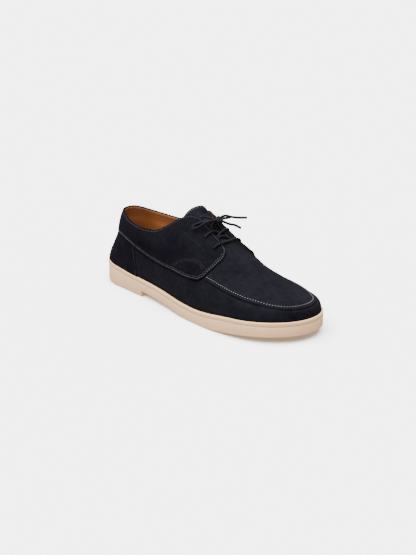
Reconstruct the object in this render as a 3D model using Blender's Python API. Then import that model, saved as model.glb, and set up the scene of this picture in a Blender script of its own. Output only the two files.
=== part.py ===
"""Lace-up derby shoe with a moc-toe seam, right foot, standing empty on its sole.

Blender 4.5 script, metres, +Z up.  The toe points along +X, the lateral side
lies on -Y, and the origin is on the floor under the middle of the sole.
Tables are in millimetres: "u" runs from the back of the heel (0) to the tip of
the toe, and "at" is the share of one side's outline from heel to toe.
Every piece of the upper is cut from one function, `skin`, which gives a point
of the lasted surface by its place round the shoe and its place up the wall.
"""
import math
from collections import namedtuple

import bmesh
import bpy
import numpy as np
from mathutils import Vector

MM = 0.001

# ---- driving dimensions, mm -------------------------------------------------
LENGTH = 300.0            # outsole, heel to toe
HEEL_CAP = 34.0           # stretch of the outline that rounds the heel
TOE_CAP = 62.0            # and the toe
MIDDLE_Y = 0.6            # middle of the finished width, which the origin lies under
TOE_SWING = 8.6           # the toe leans to the medial side by this much
BREAST_U = 82.0           # front face of the heel
BREAST_LEAN = 0.4
WALL = 2.0                # lining and backing of the upper, together
GAP = 0.3                 # between pieces that touch on the real shoe
QUARTER_GAP = 0.55        # the quarters bridge the hollows of the wall
OVERLAY = 1.2             # suede of the quarters
RIM_WIDTH = 3.0           # the sole's rim round the upper
RIM_DEPTH = 3.4           # from the rim down to the seat
FEATHER_LIFT = 0.3        # the upper stands this far off the seat
INSOLE_THICK = 2.6
STATIONS = 68             # sections round the whole outline
WALL_ROWS = 12            # rows from the seat to the top of the upper

# ---- sole ------------------------------------------------------------------
Plan = namedtuple("Plan", "share lateral medial")
SOLE_PLAN = (
    Plan(0.00, 33.0, 34.3), Plan(0.12, 33.9, 33.9), Plan(0.22, 36.0, 33.2),
    Plan(0.32, 38.2, 32.4), Plan(0.42, 42.2, 33.3), Plan(0.52, 47.1, 36.9),
    Plan(0.62, 49.8, 42.1), Plan(0.72, 51.2, 46.8), Plan(0.82, 50.6, 49.3),
    Plan(0.92, 49.1, 49.7), Plan(1.00, 47.6, 49.0))
Level = namedtuple("Level", "u z")
SOLE_TOP = (Level(0, 26.2), Level(60, 21.0), Level(120, 18.4), Level(180, 15.6),
            Level(240, 20.8), Level(300, 23.4))
SOLE_BOTTOM = (Level(82, 6.0), Level(100, 5.2), Level(135, 3.4), Level(172, 0.0),
               Level(202, 0.0), Level(225, 2.0), Level(264, 6.0), Level(300, 7.4))
Step = namedtuple("Step", "inset from_top")
RIM_STEPS = (Step(0.0, 4.9), Step(0.55, 4.5), Step(0.0, 4.1), Step(0.0, 0.9),
             Step(0.7, 0.0), Step(RIM_WIDTH, 0.0), Step(RIM_WIDTH, RIM_DEPTH))

# ---- lasted surface of the upper -------------------------------------------
Wall = namedtuple("Wall", "at bulge_in bulge_up side_in side_z bow tuck")
WALLS = (                 # tuck: the medial side lies this much further in
    Wall(0.00, 5.8, 10.0, 12.2, 60.0, 0.8, 0.0), Wall(0.08, 5.8, 10.0, 12.6, 60.0, 0.8, 0.0),
    Wall(0.16, 5.4, 11.0, 10.2, 58.0, 1.0, 0.0), Wall(0.26, 4.6, 13.0, 6.8, 53.0, 1.8, 0.0),
    Wall(0.36, 3.8, 13.0, 6.0, 50.0, 2.6, 0.0), Wall(0.46, 3.6, 13.0, 7.4, 52.0, 4.6, 0.3),
    Wall(0.56, 3.6, 13.0, 9.4, 54.0, 6.4, 1.2), Wall(0.64, 3.6, 12.0, 10.7, 50.5, 5.8, 2.6),
    Wall(0.72, 3.6, 10.0, 10.8, 45.5, 3.2, 3.8), Wall(0.80, 3.6, 9.0, 11.0, 41.8, 1.9, 4.0),
    Wall(0.88, 3.8, 8.0, 11.0, 38.6, 1.3, 2.8), Wall(0.95, 3.8, 7.6, 11.0, 37.3, 1.0, 0.7),
    Wall(1.00, 3.8, 7.5, 11.0, 37.0, 0.9, 0.0))
Top = namedtuple("Top", "at u half z")
TOPS = (
    Top(0.00, 16.8, 0.0, 84.2), Top(0.05, 18.2, 6.2, 84.0), Top(0.10, 23.0, 11.6, 83.0),
    Top(0.16, 33.6, 17.4, 80.8), Top(0.22, 49.4, 23.2, 78.4), Top(0.30, 74.0, 27.6, 76.8),
    Top(0.37, 95.0, 28.4, 78.8), Top(0.43, 112.0, 24.8, 87.2), Top(0.48, 127.0, 18.0, 97.6),
    Top(0.51, 138.0, 12.4, 101.8), Top(0.53, 145.0, 9.6, 101.3), Top(0.55, 151.0, 8.0, 97.8),
    Top(0.60, 166.0, 7.6, 87.6), Top(0.65, 183.0, 7.6, 78.4), Top(0.665, 188.0, 5.0, 76.0),
    Top(0.68, 191.0, 0.0, 74.6), Top(0.74, 205.0, 0.0, 67.8), Top(0.82, 225.0, 0.0, 59.0),
    Top(0.90, 246.0, 0.0, 50.6), Top(1.00, 270.0, 0.0, 43.2))
ROW_KNOTS = (0.0, 0.18, 0.42, 0.70, 1.0)
TUCK_FALL = 0.35          # and this share of the tuck lower
CHEEK = 0.5               # the cheek rail's place between side and top rails
THROAT_AT = 0.68          # sections ahead of this one close over the foot

# ---- panels over the wall -----------------------------------------------------
Edge = namedtuple("Edge", "at v")
QUARTER_EDGE = (Edge(0.0, 0.41), Edge(0.143, 0.412), Edge(0.178, 0.394), Edge(0.242, 0.384),
                Edge(0.30, 0.366), Edge(0.356, 0.354), Edge(0.412, 0.343), Edge(0.468, 0.338),
                Edge(0.524, 0.332), Edge(0.70, 0.331))
Front = namedtuple("Front", "share at")
QUARTER_FRONT = (Front(0.0, 0.548), Front(0.016, 0.5726), Front(0.064, 0.593),
                 Front(0.117, 0.604), Front(0.27, 0.630), Front(0.414, 0.6526),
                 Front(0.543, 0.6653), Front(0.637, 0.672), Front(0.723, 0.6738),
                 Front(0.823, 0.670), Front(0.94, 0.659), Front(1.0, 0.640))
BACK_SEAM_AT = 0.0006
MEDIAL_BACK = 0.012       # the medial quarter ends this much earlier
EVEN_STATIONS = 17        # the quarter's columns follow the upper's sections this far
QUARTER_COLUMNS = 27
CORNER_ROWS = 1.3         # rows crowd towards the quarter's lower edge
PANEL_STEP = 0.008        # gap in v between the counter and the quarter's edge
COUNTER_FOOT_AT = 0.268
COUNTER_HEAD_AT = 0.223
COUNTER_FOOT_V = 0.085
COUNTER_THICK = 1.1
MOC_START_AT = 0.622
MOC_V = 0.42
MOC_SPAN = 0.06
MOC_RISE = 1.4
Reach = namedtuple("Reach", "at reach")
TONGUE = (Reach(0.512, 12.6), Reach(0.55, 16.6), Reach(0.60, 19.0), Reach(0.65, 17.0),
          Reach(0.70, 13.0))
TONGUE_UNDER = 0.6        # below the inside of the upper
TONGUE_THICK = 2.2
TONGUE_COLUMNS = 13
Crest = namedtuple("Crest", "s u y z")
TONGUE_TOP = (Crest(-1.0, 128.8, -11.0, 100.6), Crest(-0.66, 131.8, -8.6, 104.8),
              Crest(-0.33, 136.0, -4.3, 108.4), Crest(0.0, 139.6, 0.6, 109.8),
              Crest(0.33, 140.6, 5.2, 108.2), Crest(0.66, 140.0, 9.3, 104.6),
              Crest(1.0, 137.6, 11.9, 101.4))

# ---- eyelets and laces ---------------------------------------------------------
Eyelet = namedtuple("Eyelet", "at v")
EYELETS = (Eyelet(0.634, 0.822), Eyelet(0.588, 0.858), Eyelet(0.538, 0.868))
MEDIAL_RAISE = 0.03       # the medial eyelets lie this much nearer the facing
EYELET_RADIUS = 1.95
LACE_RADIUS = 1.25
LACE_SIDES = 8
LACE_OUT = 3.2            # middle of a lace that lies on a quarter
LACE_SUNK = 0.4           # middle of a lace's end inside an eyelet
TONGUE_OUT = -0.9         # middle of a lace that lies on the tongue
GAP_UP = np.array([0.45, 0.0, 0.9])   # way up out of the throat
GAP_ARCH = 3.2            # a lace arches this much over the middle of the throat
BAR_EDGE_AT = (0.649, 0.646)          # where a bar passes the lateral and the medial facing
BAR_MIDDLE = (0.648, 0.5, 1.4)        # at, share across the throat, height
CROSS_EDGE_AT = (0.600, 0.598)
CROSS_FROM_LATERAL = ((0.602, 0.4, 0.1), (0.612, 0.84, TONGUE_OUT))
CROSS_FROM_MEDIAL = ((0.602, 0.6, 0.1), (0.612, 0.16, TONGUE_OUT))
UNDER_FORWARD = ((0.623, 0.14, TONGUE_OUT), (0.627, 0.5, TONGUE_OUT), (0.636, 0.86, TONGUE_OUT))
UNDER_BACK = ((0.636, 0.14, TONGUE_OUT), (0.627, 0.5, TONGUE_OUT), (0.623, 0.86, TONGUE_OUT))
YOKE_EDGE_AT = 0.558
YOKE_MIDDLE = (0.572, 0.5, 1.2)
RISER = ((0.548, 0.13, TONGUE_OUT), (0.556, 0.3, 0.2))
LONG_STEP = 4.0           # length of a lace's straight steps
SHORT_STEP = 3.0
KNOT_STEP = 6.0
END_STEP = 5.0
KNOT_TURNS = 1.8
KNOT_POINTS = 17
KNOT_AT = np.array([164.5, 4.2, 98.3])
KNOT_COIL = 1.9           # radius of the knot's turns
KNOT_WIDE = 6.2
KNOT_TAIL = [(166.0, 12.4, 99.6), (166.4, 16.2, 98.9)]
LOOP = [(163.3, 0.2, 98.6), (161.0, -7.4, 99.8), (158.4, -10.8, 99.0), (156.1, -14.8, 98.1),
        (154.3, -19.7, 97.0), (153.9, -23.6, 95.4), (155.0, -24.2, 93.2), (158.5, -21.0, 94.8),
        (161.7, -17.8, 97.4), (164.1, -14.8, 100.0), (165.4, -10.4, 100.8), (165.6, -5.6, 100.6)]
END_LONG = [(164.8, 9.6, 102.4), (166.6, 13.4, 102.7), (168.0, 19.0, 100.6), (170.6, 27.0, 98.7),
            (174.2, 36.4, 97.6)]
END_SHORT = [(165.6, 9.8, 96.6), (165.6, 14.0, 94.4), (164.6, 20.5, 91.3), (164.4, 28.0, 88.7),
             (164.6, 36.4, 83.8)]
Line = namedtuple("Line", "u y")
TOP_AXIS = (Line(0, 0.0), Line(60, 0.6), Line(120, 2.0), Line(180, 2.0),
            Line(230, 2.6), Line(260, 4.2), Line(300, 8.6))


def read(rows, column, x):
    """Read a table's column at x, on a smooth curve through its rows."""
    xs = [row[0] for row in rows]
    ys = [getattr(row, column) for row in rows]
    if x <= xs[0] or x >= xs[-1]:
        return ys[0] if x <= xs[0] else ys[-1]
    k = max(i for i in range(len(xs) - 1) if xs[i] <= x)

    def slope(i):
        if i in (0, len(xs) - 1):
            return 0.0
        before = (ys[i] - ys[i - 1]) / (xs[i] - xs[i - 1])
        after = (ys[i + 1] - ys[i]) / (xs[i + 1] - xs[i])
        if before * after <= 0.0:
            return 0.0
        near, far = xs[i] - xs[i - 1], xs[i + 1] - xs[i]
        return (near + far) * 3.0 / ((2 * far + near) / before + (far + 2 * near) / after)

    step = xs[k + 1] - xs[k]
    t = (x - xs[k]) / step
    return hermite(ys[k], ys[k + 1], slope(k) * step, slope(k + 1) * step, t)


def hermite(a, b, leave, arrive, t):
    """Cubic curve from a to b, with its speeds at both ends."""
    return ((2 * t ** 3 - 3 * t ** 2 + 1) * a + (t ** 3 - 2 * t ** 2 + t) * leave
            + (3 * t ** 2 - 2 * t ** 3) * b + (t ** 3 - t ** 2) * arrive)


def ease(x, start, end):
    """0 before start, 1 after end, smooth between."""
    t = min(max((x - start) / (end - start), 0.0), 1.0)
    return t * t * (3 - 2 * t)


# ---- outline -----------------------------------------------------------------
def half_width(side, u):
    """Half width of the sole at u: side is -1 on the lateral side, +1 on the medial."""
    column = "medial" if side > 0 else "lateral"
    width = read(SOLE_PLAN, column, u / LENGTH)
    if u < HEEL_CAP:
        width *= max(1 - ((HEEL_CAP - u) / HEEL_CAP) ** 2.2, 0.0) ** (1 / 2.2)
    if u > LENGTH - TOE_CAP:
        width *= max(1 - ((u - LENGTH + TOE_CAP) / TOE_CAP) ** 2.3, 0.0) ** (1 / 2.1)
    return width


def swing(u):
    """Lean of the outline's middle towards the medial side."""
    return TOE_SWING * min(max((u / LENGTH - 0.6) / 0.4, 0.0), 1.0) ** 2


def station_lengths():
    """The u of evenly spaced places along the outline's mean side."""
    angles = np.linspace(0, math.pi, 1201)
    us = LENGTH * (1 - np.cos(angles)) / 2
    ys = [(half_width(-1, u) + half_width(1, u)) / 2 for u in us]
    arcs = np.concatenate([[0], np.cumsum(np.hypot(np.diff(us), np.diff(ys)))])
    return arcs / arcs[-1], us


ARCS, ARC_US = station_lengths()


def u_at(at):
    """The u of a share of the outline, the same on both sides."""
    return float(np.interp(at, ARCS, ARC_US))


def at_u(u):
    """The share of the outline at u."""
    return float(np.interp(u, ARC_US, ARCS))


def rim(turn, inset=0.0):
    """Point of the outline moved inwards, in plan.

    turn runs from -1 at the toe along the lateral side to 0 at the heel, and on
    along the medial side to 1 at the toe again.
    """
    def edge(t):
        t = (t + 1) % 2 - 1
        u = u_at(abs(t))
        side = 1 if t > 0 else -1
        return np.array([u, swing(u) + side * half_width(side, u)])

    small = 0.004
    tangent = edge(turn + small) - edge(turn - small)
    tangent /= np.linalg.norm(tangent)
    return edge(turn) + inset * np.array([tangent[1], -tangent[0]])


def sole_top(u):
    return read(SOLE_TOP, "z", u)


def sole_bottom(u):
    return 0.0 if u <= BREAST_U else read(SOLE_BOTTOM, "z", u)


def on_seat(plan, lift=0.0):
    """Point of the sole's seat at a place in plan."""
    return np.append(plan, sole_top(plan[0]) - RIM_DEPTH + lift)


# ---- lasted surface ------------------------------------------------------------
def rails(turn):
    """The five guide points of the wall at one place round the outline."""
    at = abs(turn)
    side = 1 if turn > 0 else -1
    u = u_at(at)
    feather = RIM_WIDTH + GAP
    wall = {name: read(WALLS, name, at) for name in Wall._fields[1:]}
    if side > 0:
        wall["side_in"] += wall["tuck"]
        wall["side_z"] -= TUCK_FALL * wall["tuck"]
    low = on_seat(rim(turn, feather), FEATHER_LIFT)
    bulge = np.append(rim(turn, wall["bulge_in"]), sole_top(u) + wall["bulge_up"])
    flank = np.append(rim(turn, wall["side_in"]), wall["side_z"])
    top_u = read(TOPS, "u", at)
    top = np.array([top_u, read(TOP_AXIS, "y", top_u) + side * read(TOPS, "half", at),
                    read(TOPS, "z", at)])
    chord = top - flank
    chord /= np.linalg.norm(chord)
    outward = np.append(rim(turn) - rim(turn, 1.0), 0.0)
    normal = outward - outward.dot(chord) * chord
    normal /= np.linalg.norm(normal)
    cheek = flank + (top - flank) * CHEEK + normal * wall["bow"]
    return [low, bulge, flank, cheek, top]


def wall_curve(turn):
    """Guide points and speeds of one section, from the seat to its top."""
    points = rails(turn)
    steps = np.diff(ROW_KNOTS)
    slopes = [(points[i + 1] - points[i]) / steps[i] for i in range(4)]
    speeds = [None] * 5
    for i in (1, 2, 3):
        speeds[i] = (slopes[i - 1] * steps[i] + slopes[i] * steps[i - 1]) / (steps[i - 1] + steps[i])
    speeds[0] = 1.5 * slopes[0] - 0.5 * speeds[1]
    speeds[4] = 1.5 * slopes[3] - 0.5 * speeds[3]
    at = abs(turn)
    closed = ease(at, THROAT_AT - 0.04, THROAT_AT) * (1 - ease(at, 0.93, 1.0))
    if closed > 0:
        across = (rails(-turn)[3] - points[3]) / (2 * steps[3])
        speeds[4] = speeds[4] * (1 - closed) + across * closed
    return points, speeds


def place(turn, v):
    """Point of the lasted surface, v from 0 at the seat to 1 at the top."""
    points, speeds = wall_curve(turn)
    k = max(i for i in range(4) if ROW_KNOTS[i] <= v)
    step = ROW_KNOTS[k + 1] - ROW_KNOTS[k]
    return hermite(points[k], points[k + 1], speeds[k] * step, speeds[k + 1] * step,
                   (v - ROW_KNOTS[k]) / step)


def skin(turn, v, out=0.0):
    """Point of the lasted surface moved outwards by `out`."""
    point = place(turn, v)
    if out == 0.0:
        return point
    small = 0.003
    low, high = max(v - small, 0.0), min(v + small, 1.0)
    round_way = place(turn + small, v) - place(turn - small, v)
    up_way = place(turn, high) - place(turn, low)
    normal = np.cross(up_way, round_way)
    return point + out * normal / np.linalg.norm(normal)


# ---- building ---------------------------------------------------------------------
def clear_scene():
    for item in list(bpy.data.objects):
        bpy.data.objects.remove(item, do_unlink=True)


def material(name, colour, roughness, metallic=0.0):
    """Principled material in one flat colour."""
    made = bpy.data.materials.new(name)
    made.use_nodes = True
    shader = made.node_tree.nodes["Principled BSDF"]
    shader.inputs["Base Color"].default_value = (*colour, 1.0)
    shader.inputs["Roughness"].default_value = roughness
    shader.inputs["Metallic"].default_value = metallic
    made.diffuse_color = (*colour, 1.0)
    return made


def in_metres(point):
    """Table point (u, y, z) in millimetres as a point of the part's frame, in metres."""
    return Vector(((point[0] - LENGTH / 2) * MM, (point[1] - MIDDLE_Y) * MM, point[2] * MM))


def grid(name, columns, rows, where):
    """Mesh grid whose vertices lie at where(column, row), in millimetres."""
    bm = bmesh.new()
    bmesh.ops.create_grid(bm, x_segments=columns - 1, y_segments=rows - 1, size=0.5)
    for vert in bm.verts:
        column = round((vert.co.x + 0.5) * (columns - 1))
        row = round((vert.co.y + 0.5) * (rows - 1))
        vert.co = in_metres(where(column, row))
    bmesh.ops.remove_doubles(bm, verts=bm.verts, dist=1e-6)
    bmesh.ops.dissolve_degenerate(bm, edges=bm.edges, dist=1e-6)
    bmesh.ops.recalc_face_normals(bm, faces=bm.faces)
    mesh = bpy.data.meshes.new(name)
    bm.to_mesh(mesh)
    bm.free()
    made = bpy.data.objects.new(name, mesh)
    bpy.context.collection.objects.link(made)
    return made


def finish(item, surface):
    """Give a piece its material and its shading."""
    item.data.materials.append(surface)
    item.data.shade_smooth()
    item.data.set_sharp_from_angle(angle=math.radians(40))
    return item


def thicken(item, thickness, offset):
    """Turn a sheet into a wall: offset -1 grows it inwards, 1 outwards."""
    solid = item.modifiers.new("wall", "SOLIDIFY")
    solid.thickness = thickness * MM
    solid.offset = offset
    solid.use_even_offset = True
    return solid


def turns(count):
    """Evenly spaced places round the whole outline, toe to toe."""
    return [-1 + 2 * k / count for k in range(count + 1)]


def middle(at, start):
    """Point of the middle line that closes a flat face, for one station."""
    u = u_at(at)
    if u < BREAST_U:
        u = start + (BREAST_U - start) * u / BREAST_U
    elif u > LENGTH - BREAST_U:
        u = LENGTH - start - (LENGTH - start - (LENGTH - BREAST_U)) * (LENGTH - u) / BREAST_U
    return np.array([u, swing(u)])


def make_sole(surface):
    """Unit sole: rounded tread edge, groove, rim, seat, heel block and toe spring."""
    breast = at_u(BREAST_U)
    lean = at_u(BREAST_U + BREAST_LEAN)
    half = STATIONS // 2
    shares = sorted([k / half for k in range(half + 1)] + [breast, lean, at_u(172), at_u(202)])
    shares = [s for i, s in enumerate(shares) if i == 0 or s - shares[i - 1] > 1e-4]
    ring = [-s for s in reversed(shares)] + shares[1:]

    def section(turn):
        at = abs(turn)
        low = sole_bottom(u_at(at))
        soft = 1.4 + 3.0 * (1 - ease(at, 0.06, 0.16))
        points = [np.append(middle(at, 24.0), low),
                  np.append(rim(turn, soft), low),
                  np.append(rim(turn, soft * 0.3), low + soft * 0.3),
                  np.append(rim(turn), low + soft)]
        for step in RIM_STEPS:
            points.append(on_seat(rim(turn, step.inset), RIM_DEPTH - step.from_top))
        points.append(on_seat(middle(at, 24.0)))
        return points

    sections = [section(turn) for turn in ring]
    item = grid("sole", len(ring), len(sections[0]), lambda c, r: sections[c][r])
    return finish(item, surface)


def make_insole(surface):
    """Sock that lies on the sole's seat, inside the upper."""
    ring = turns(STATIONS)
    edge = RIM_WIDTH + GAP + WALL + 0.6

    def section(turn):
        inner, outer = middle(abs(turn), 24.0), rim(turn, edge)
        return [on_seat(inner, GAP), on_seat(outer, GAP),
                on_seat(outer, GAP + INSOLE_THICK), on_seat(inner, GAP + INSOLE_THICK)]

    sections = [section(turn) for turn in ring]
    return finish(grid("insole", len(ring), 4, lambda c, r: sections[c][r]), surface)


def make_upper(surface):
    """Hollow upper, open at the collar, the throat and underneath."""
    ring = turns(STATIONS)
    item = grid("upper", len(ring), WALL_ROWS + 1, lambda c, r: skin(ring[c], r / WALL_ROWS))
    thicken(item, WALL, -1.0)
    return finish(item, surface)


def panel(name, columns, rows, where, surface, lift, thickness):
    """Overlay cut from the lasted surface: where(c, r) gives its (turn, v), c and r from 0 to 1."""
    def corner(column, row):
        turn, v = where(column / (columns - 1), row / (rows - 1))
        return skin(turn, v, lift)

    item = grid(name, columns, rows, corner)
    face = min(item.data.polygons, key=lambda f: (f.center - in_metres(skin(*where(0.5, 0.5)))).length)
    if face.normal.dot(outward_at(*where(0.5, 0.5))) < 0:
        item.data.flip_normals()
    thicken(item, thickness, 1.0)
    return finish(item, surface)


def outward_at(turn, v):
    """Outward direction of the lasted surface."""
    return Vector(skin(turn, v, 1.0) - skin(turn, v))


def make_quarter(name, side, surface):
    """Side panel that wraps from the back seam to the facing, over the wall."""
    def where(c, r):
        r = r ** CORNER_ROWS
        front = read(QUARTER_FRONT, "at", r) - (MEDIAL_BACK if side > 0 else 0.0)
        station = c * (QUARTER_COLUMNS - 1)
        if station <= EVEN_STATIONS:
            at = max(station * 2 / STATIONS, BACK_SEAM_AT)
        else:
            at = EVEN_STATIONS * 2 / STATIONS
            at += (front - at) * (station - EVEN_STATIONS) / (QUARTER_COLUMNS - 1 - EVEN_STATIONS)
        low = read(QUARTER_EDGE, "v", at)
        return side * at, low + (1 - low) * r

    return panel(name, QUARTER_COLUMNS, 9, where, surface, QUARTER_GAP, OVERLAY)


def make_counter(surface):
    """Heel panel between the rim of the sole and the quarters."""
    def where(c, r):
        turn = (2 * c - 1)
        reach = COUNTER_FOOT_AT + (COUNTER_HEAD_AT - COUNTER_FOOT_AT) * r
        at = abs(turn) * reach
        high = read(QUARTER_EDGE, "v", at) - PANEL_STEP
        return math.copysign(at, turn), COUNTER_FOOT_V + (high - COUNTER_FOOT_V) * r

    return panel("heel_counter", 25, 6, where, surface, GAP, COUNTER_THICK)


def make_moc_seam(surface):
    """Raised roll that joins the apron to the side wall, from quarter to quarter round the toe."""
    def where(c, r):
        turn = MOC_START_AT + (2 + MEDIAL_BACK - 2 * MOC_START_AT) * c
        swell = ease(c, 0.0, 0.03) * ease(1 - c, 0.0, 0.03)
        return -turn if turn <= 1 else 2 - turn, MOC_V + (r - 0.5) * MOC_SPAN * (0.4 + 0.6 * swell)

    return panel("moc_seam", 41, 4, where, surface, GAP, MOC_RISE)


def tongue_row(at):
    """Points across the tongue under both facings, evenly spaced either side of the middle."""
    depth = -(WALL + TONGUE_UNDER)
    sides = {}
    for side in (-1, 1):
        sides[side] = [skin(side * at, v, depth) for v in np.linspace(0.55, 1.0, 19)]
    left, right = sides[-1][-1], sides[1][-1]
    span = np.linalg.norm(right - left)
    leave = (left - sides[-1][-3]) / np.linalg.norm(left - sides[-1][-3]) * span
    arrive = (sides[1][-3] - right) / np.linalg.norm(right - sides[1][-3]) * span
    bridge = [hermite(left, right, leave, arrive, t) for t in np.linspace(0, 1, 11)[1:-1]]
    line = np.array(sides[-1] + bridge + sides[1][::-1])
    arcs = np.concatenate([[0], np.cumsum(np.linalg.norm(np.diff(line, axis=0), axis=1))])
    centre = arcs[len(sides[-1]) - 1] + (arcs[len(sides[-1]) + len(bridge)] - arcs[len(sides[-1]) - 1]) / 2
    reach = read(TONGUE, "reach", at)
    stops = centre + reach * np.linspace(-1, 1, TONGUE_COLUMNS)
    return np.array([[np.interp(s, arcs, line[:, k]) for k in range(3)] for s in stops])


def make_tongue(surface):
    """Tongue under the facings, rising above them behind the knot."""
    rows = [tongue_row(at) for at in (0.70, 0.675, 0.65, 0.625, 0.60, 0.575, 0.55)]
    crest = np.array([[read(TONGUE_TOP, name, s) for name in ("u", "y", "z")]
                      for s in np.linspace(-1, 1, TONGUE_COLUMNS)])
    sideways = [1 - ease(abs(s), 0.3, 1.0) for s in np.linspace(-1, 1, TONGUE_COLUMNS)]
    base = tongue_row(0.512)
    base += (tongue_row(0.53) - base) * np.array(sideways)[:, None]
    rows.append(base)
    rows += [base + (crest - base) * share for share in (0.35, 0.7, 1.0)]
    item = grid("tongue", TONGUE_COLUMNS, len(rows), lambda c, r: rows[r][c])
    if sum(face.normal.z for face in item.data.polygons) < 0:
        item.data.flip_normals()
    thicken(item, TONGUE_THICK, -1.0)
    return finish(item, surface)


# ---- eyelets and laces ---------------------------------------------------------
def eyelets(side):
    """Eyelets of one side."""
    raised = MEDIAL_RAISE if side > 0 else 0.0
    return [Eyelet(eyelet.at, eyelet.v + raised) for eyelet in EYELETS]


def cut_eyelets(items):
    """Punch the three pairs of eyelets through the quarters and the upper."""
    bm = bmesh.new()
    for side in (-1, 1):
        for eyelet in eyelets(side):
            made = bmesh.ops.create_cone(bm, cap_ends=True, segments=10, radius1=EYELET_RADIUS * MM,
                                         radius2=EYELET_RADIUS * MM, depth=10 * MM)
            axis = outward_at(side * eyelet.at, eyelet.v)
            turned = Vector((0, 0, 1)).rotation_difference(axis).to_matrix()
            bmesh.ops.rotate(bm, matrix=turned, verts=made["verts"])
            bmesh.ops.translate(bm, vec=in_metres(skin(side * eyelet.at, eyelet.v)), verts=made["verts"])
    mesh = bpy.data.meshes.new("eyelet_cutter")
    bm.to_mesh(mesh)
    bm.free()
    cutter = bpy.data.objects.new("eyelet_cutter", mesh)
    bpy.context.collection.objects.link(cutter)
    cutter.hide_render = True
    cutter.display_type = "WIRE"
    for item in items:
        cut = item.modifiers.new("eyelets", "BOOLEAN")
        cut.operation = "DIFFERENCE"
        cut.solver = "EXACT"
        cut.object = cutter


def smooth_route(points, step):
    """Points every `step` mm along a soft curve through the given ones."""
    points = [np.array(point, float) for point in points]
    route = []
    for k in range(len(points) - 1):
        before = points[max(k - 1, 0)]
        after = points[min(k + 2, len(points) - 1)]
        a, b = points[k], points[k + 1]
        parts = max(int(round(np.linalg.norm(b - a) / step)), 1)
        leave, arrive = (b - before) / 2, (after - a) / 2
        route += [hermite(a, b, leave, arrive, i / parts) for i in range(parts)]
    return route + [points[-1]]


def tube(name, points, radius, surface=None):
    """Closed round tube along a route, as a mesh."""
    route = [np.array(point) for point in points]
    frames = []
    up = np.array([0.0, 0.0, 1.0])
    for k in range(len(route)):
        way = route[min(k + 1, len(route) - 1)] - route[max(k - 1, 0)]
        way /= np.linalg.norm(way)
        up = up - up.dot(way) * way
        up /= np.linalg.norm(up)
        frames.append((up, np.cross(way, up)))

    def ring(column, row):
        if row in (0, len(route) + 1):
            return route[0 if row == 0 else -1]
        a, b = frames[row - 1]
        angle = 2 * math.pi * (column % LACE_SIDES) / LACE_SIDES
        return route[row - 1] + radius * (math.cos(angle) * a + math.sin(angle) * b)

    item = grid(name, LACE_SIDES + 1, len(route) + 2, ring)
    return finish(item, surface) if surface else item


def joined(name, routes, surface):
    """One solid from several tubes that cross."""
    first = tube(name, routes[0], LACE_RADIUS)
    for k, route in enumerate(routes[1:]):
        other = tube(f"{name}_cutter_{k}", route, LACE_RADIUS)
        other.hide_render = True
        other.display_type = "WIRE"
        add = first.modifiers.new("crossing", "BOOLEAN")
        add.operation = "UNION"
        add.solver = "EXACT"
        add.object = other
    return finish(first, surface)


def over_quarter(side, which, edge_at):
    """Route of a lace from inside an eyelet, over the quarter, to the facing's edge."""
    def on(at, v, out):
        return skin(side * at, v, out)

    eyelet = eyelets(side)[which]
    drift = edge_at - eyelet.at
    return [on(eyelet.at, eyelet.v, LACE_SUNK), on(eyelet.at, eyelet.v + 0.004, 2.8),
            on(eyelet.at + 0.12 * drift, eyelet.v + 0.035, LACE_OUT + 0.8),
            on(eyelet.at + 0.55 * drift, (eyelet.v + 1) / 2 + 0.02, LACE_OUT + 0.25),
            on(edge_at, 1.0, LACE_OUT + 0.1)]


def in_gap(at, share, out):
    """Point between the facings, share 0 at the lateral edge and 1 at the medial edge."""
    lateral, medial = skin(-at, 1.0), skin(at, 1.0)
    point = lateral + (medial - lateral) * share
    return point + GAP_UP * (out + GAP_ARCH * share * (1 - share))


def make_crossings(surface):
    """The laces between the facings, as joined solids."""
    low, mid, top = 0, 1, 2
    bar = over_quarter(-1, low, BAR_EDGE_AT[0]) + [in_gap(*BAR_MIDDLE)] + over_quarter(1, low, BAR_EDGE_AT[1])[::-1]
    tube("lace_bar", smooth_route(bar, LONG_STEP), LACE_RADIUS, surface)

    strand_a = over_quarter(-1, mid, CROSS_EDGE_AT[0]) + [in_gap(*spot) for spot in CROSS_FROM_LATERAL]
    strand_b = over_quarter(1, mid, CROSS_EDGE_AT[1]) + [in_gap(*spot) for spot in CROSS_FROM_MEDIAL]
    joined("lace_crossing", [smooth_route(strand_a, LONG_STEP), smooth_route(strand_b, LONG_STEP)], surface)

    under = [[in_gap(*spot) for spot in strand] for strand in (UNDER_FORWARD, UNDER_BACK)]
    joined("lace_under", [smooth_route(strand, SHORT_STEP) for strand in under], surface)

    middle_top = in_gap(*YOKE_MIDDLE)
    yoke = over_quarter(-1, top, YOKE_EDGE_AT) + [middle_top] + over_quarter(1, top, YOKE_EDGE_AT)[::-1]
    riser = [in_gap(*spot) for spot in RISER] + [middle_top]
    joined("lace_yoke", [smooth_route(yoke, LONG_STEP), smooth_route(riser, LONG_STEP)], surface)


def cord(name, points, step, surface):
    """Free lace, as a round curve."""
    route = smooth_route(points, step)
    curve = bpy.data.curves.new(name, "CURVE")
    curve.dimensions = "3D"
    curve.bevel_depth = LACE_RADIUS * MM
    curve.bevel_resolution = 2
    curve.use_fill_caps = True
    spline = curve.splines.new("POLY")
    spline.points.add(len(route) - 1)
    for point, place_at in zip(spline.points, route):
        point.co = (*in_metres(place_at), 1.0)
    item = bpy.data.objects.new(name, curve)
    bpy.context.collection.objects.link(item)
    curve.materials.append(surface)
    return item


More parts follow.
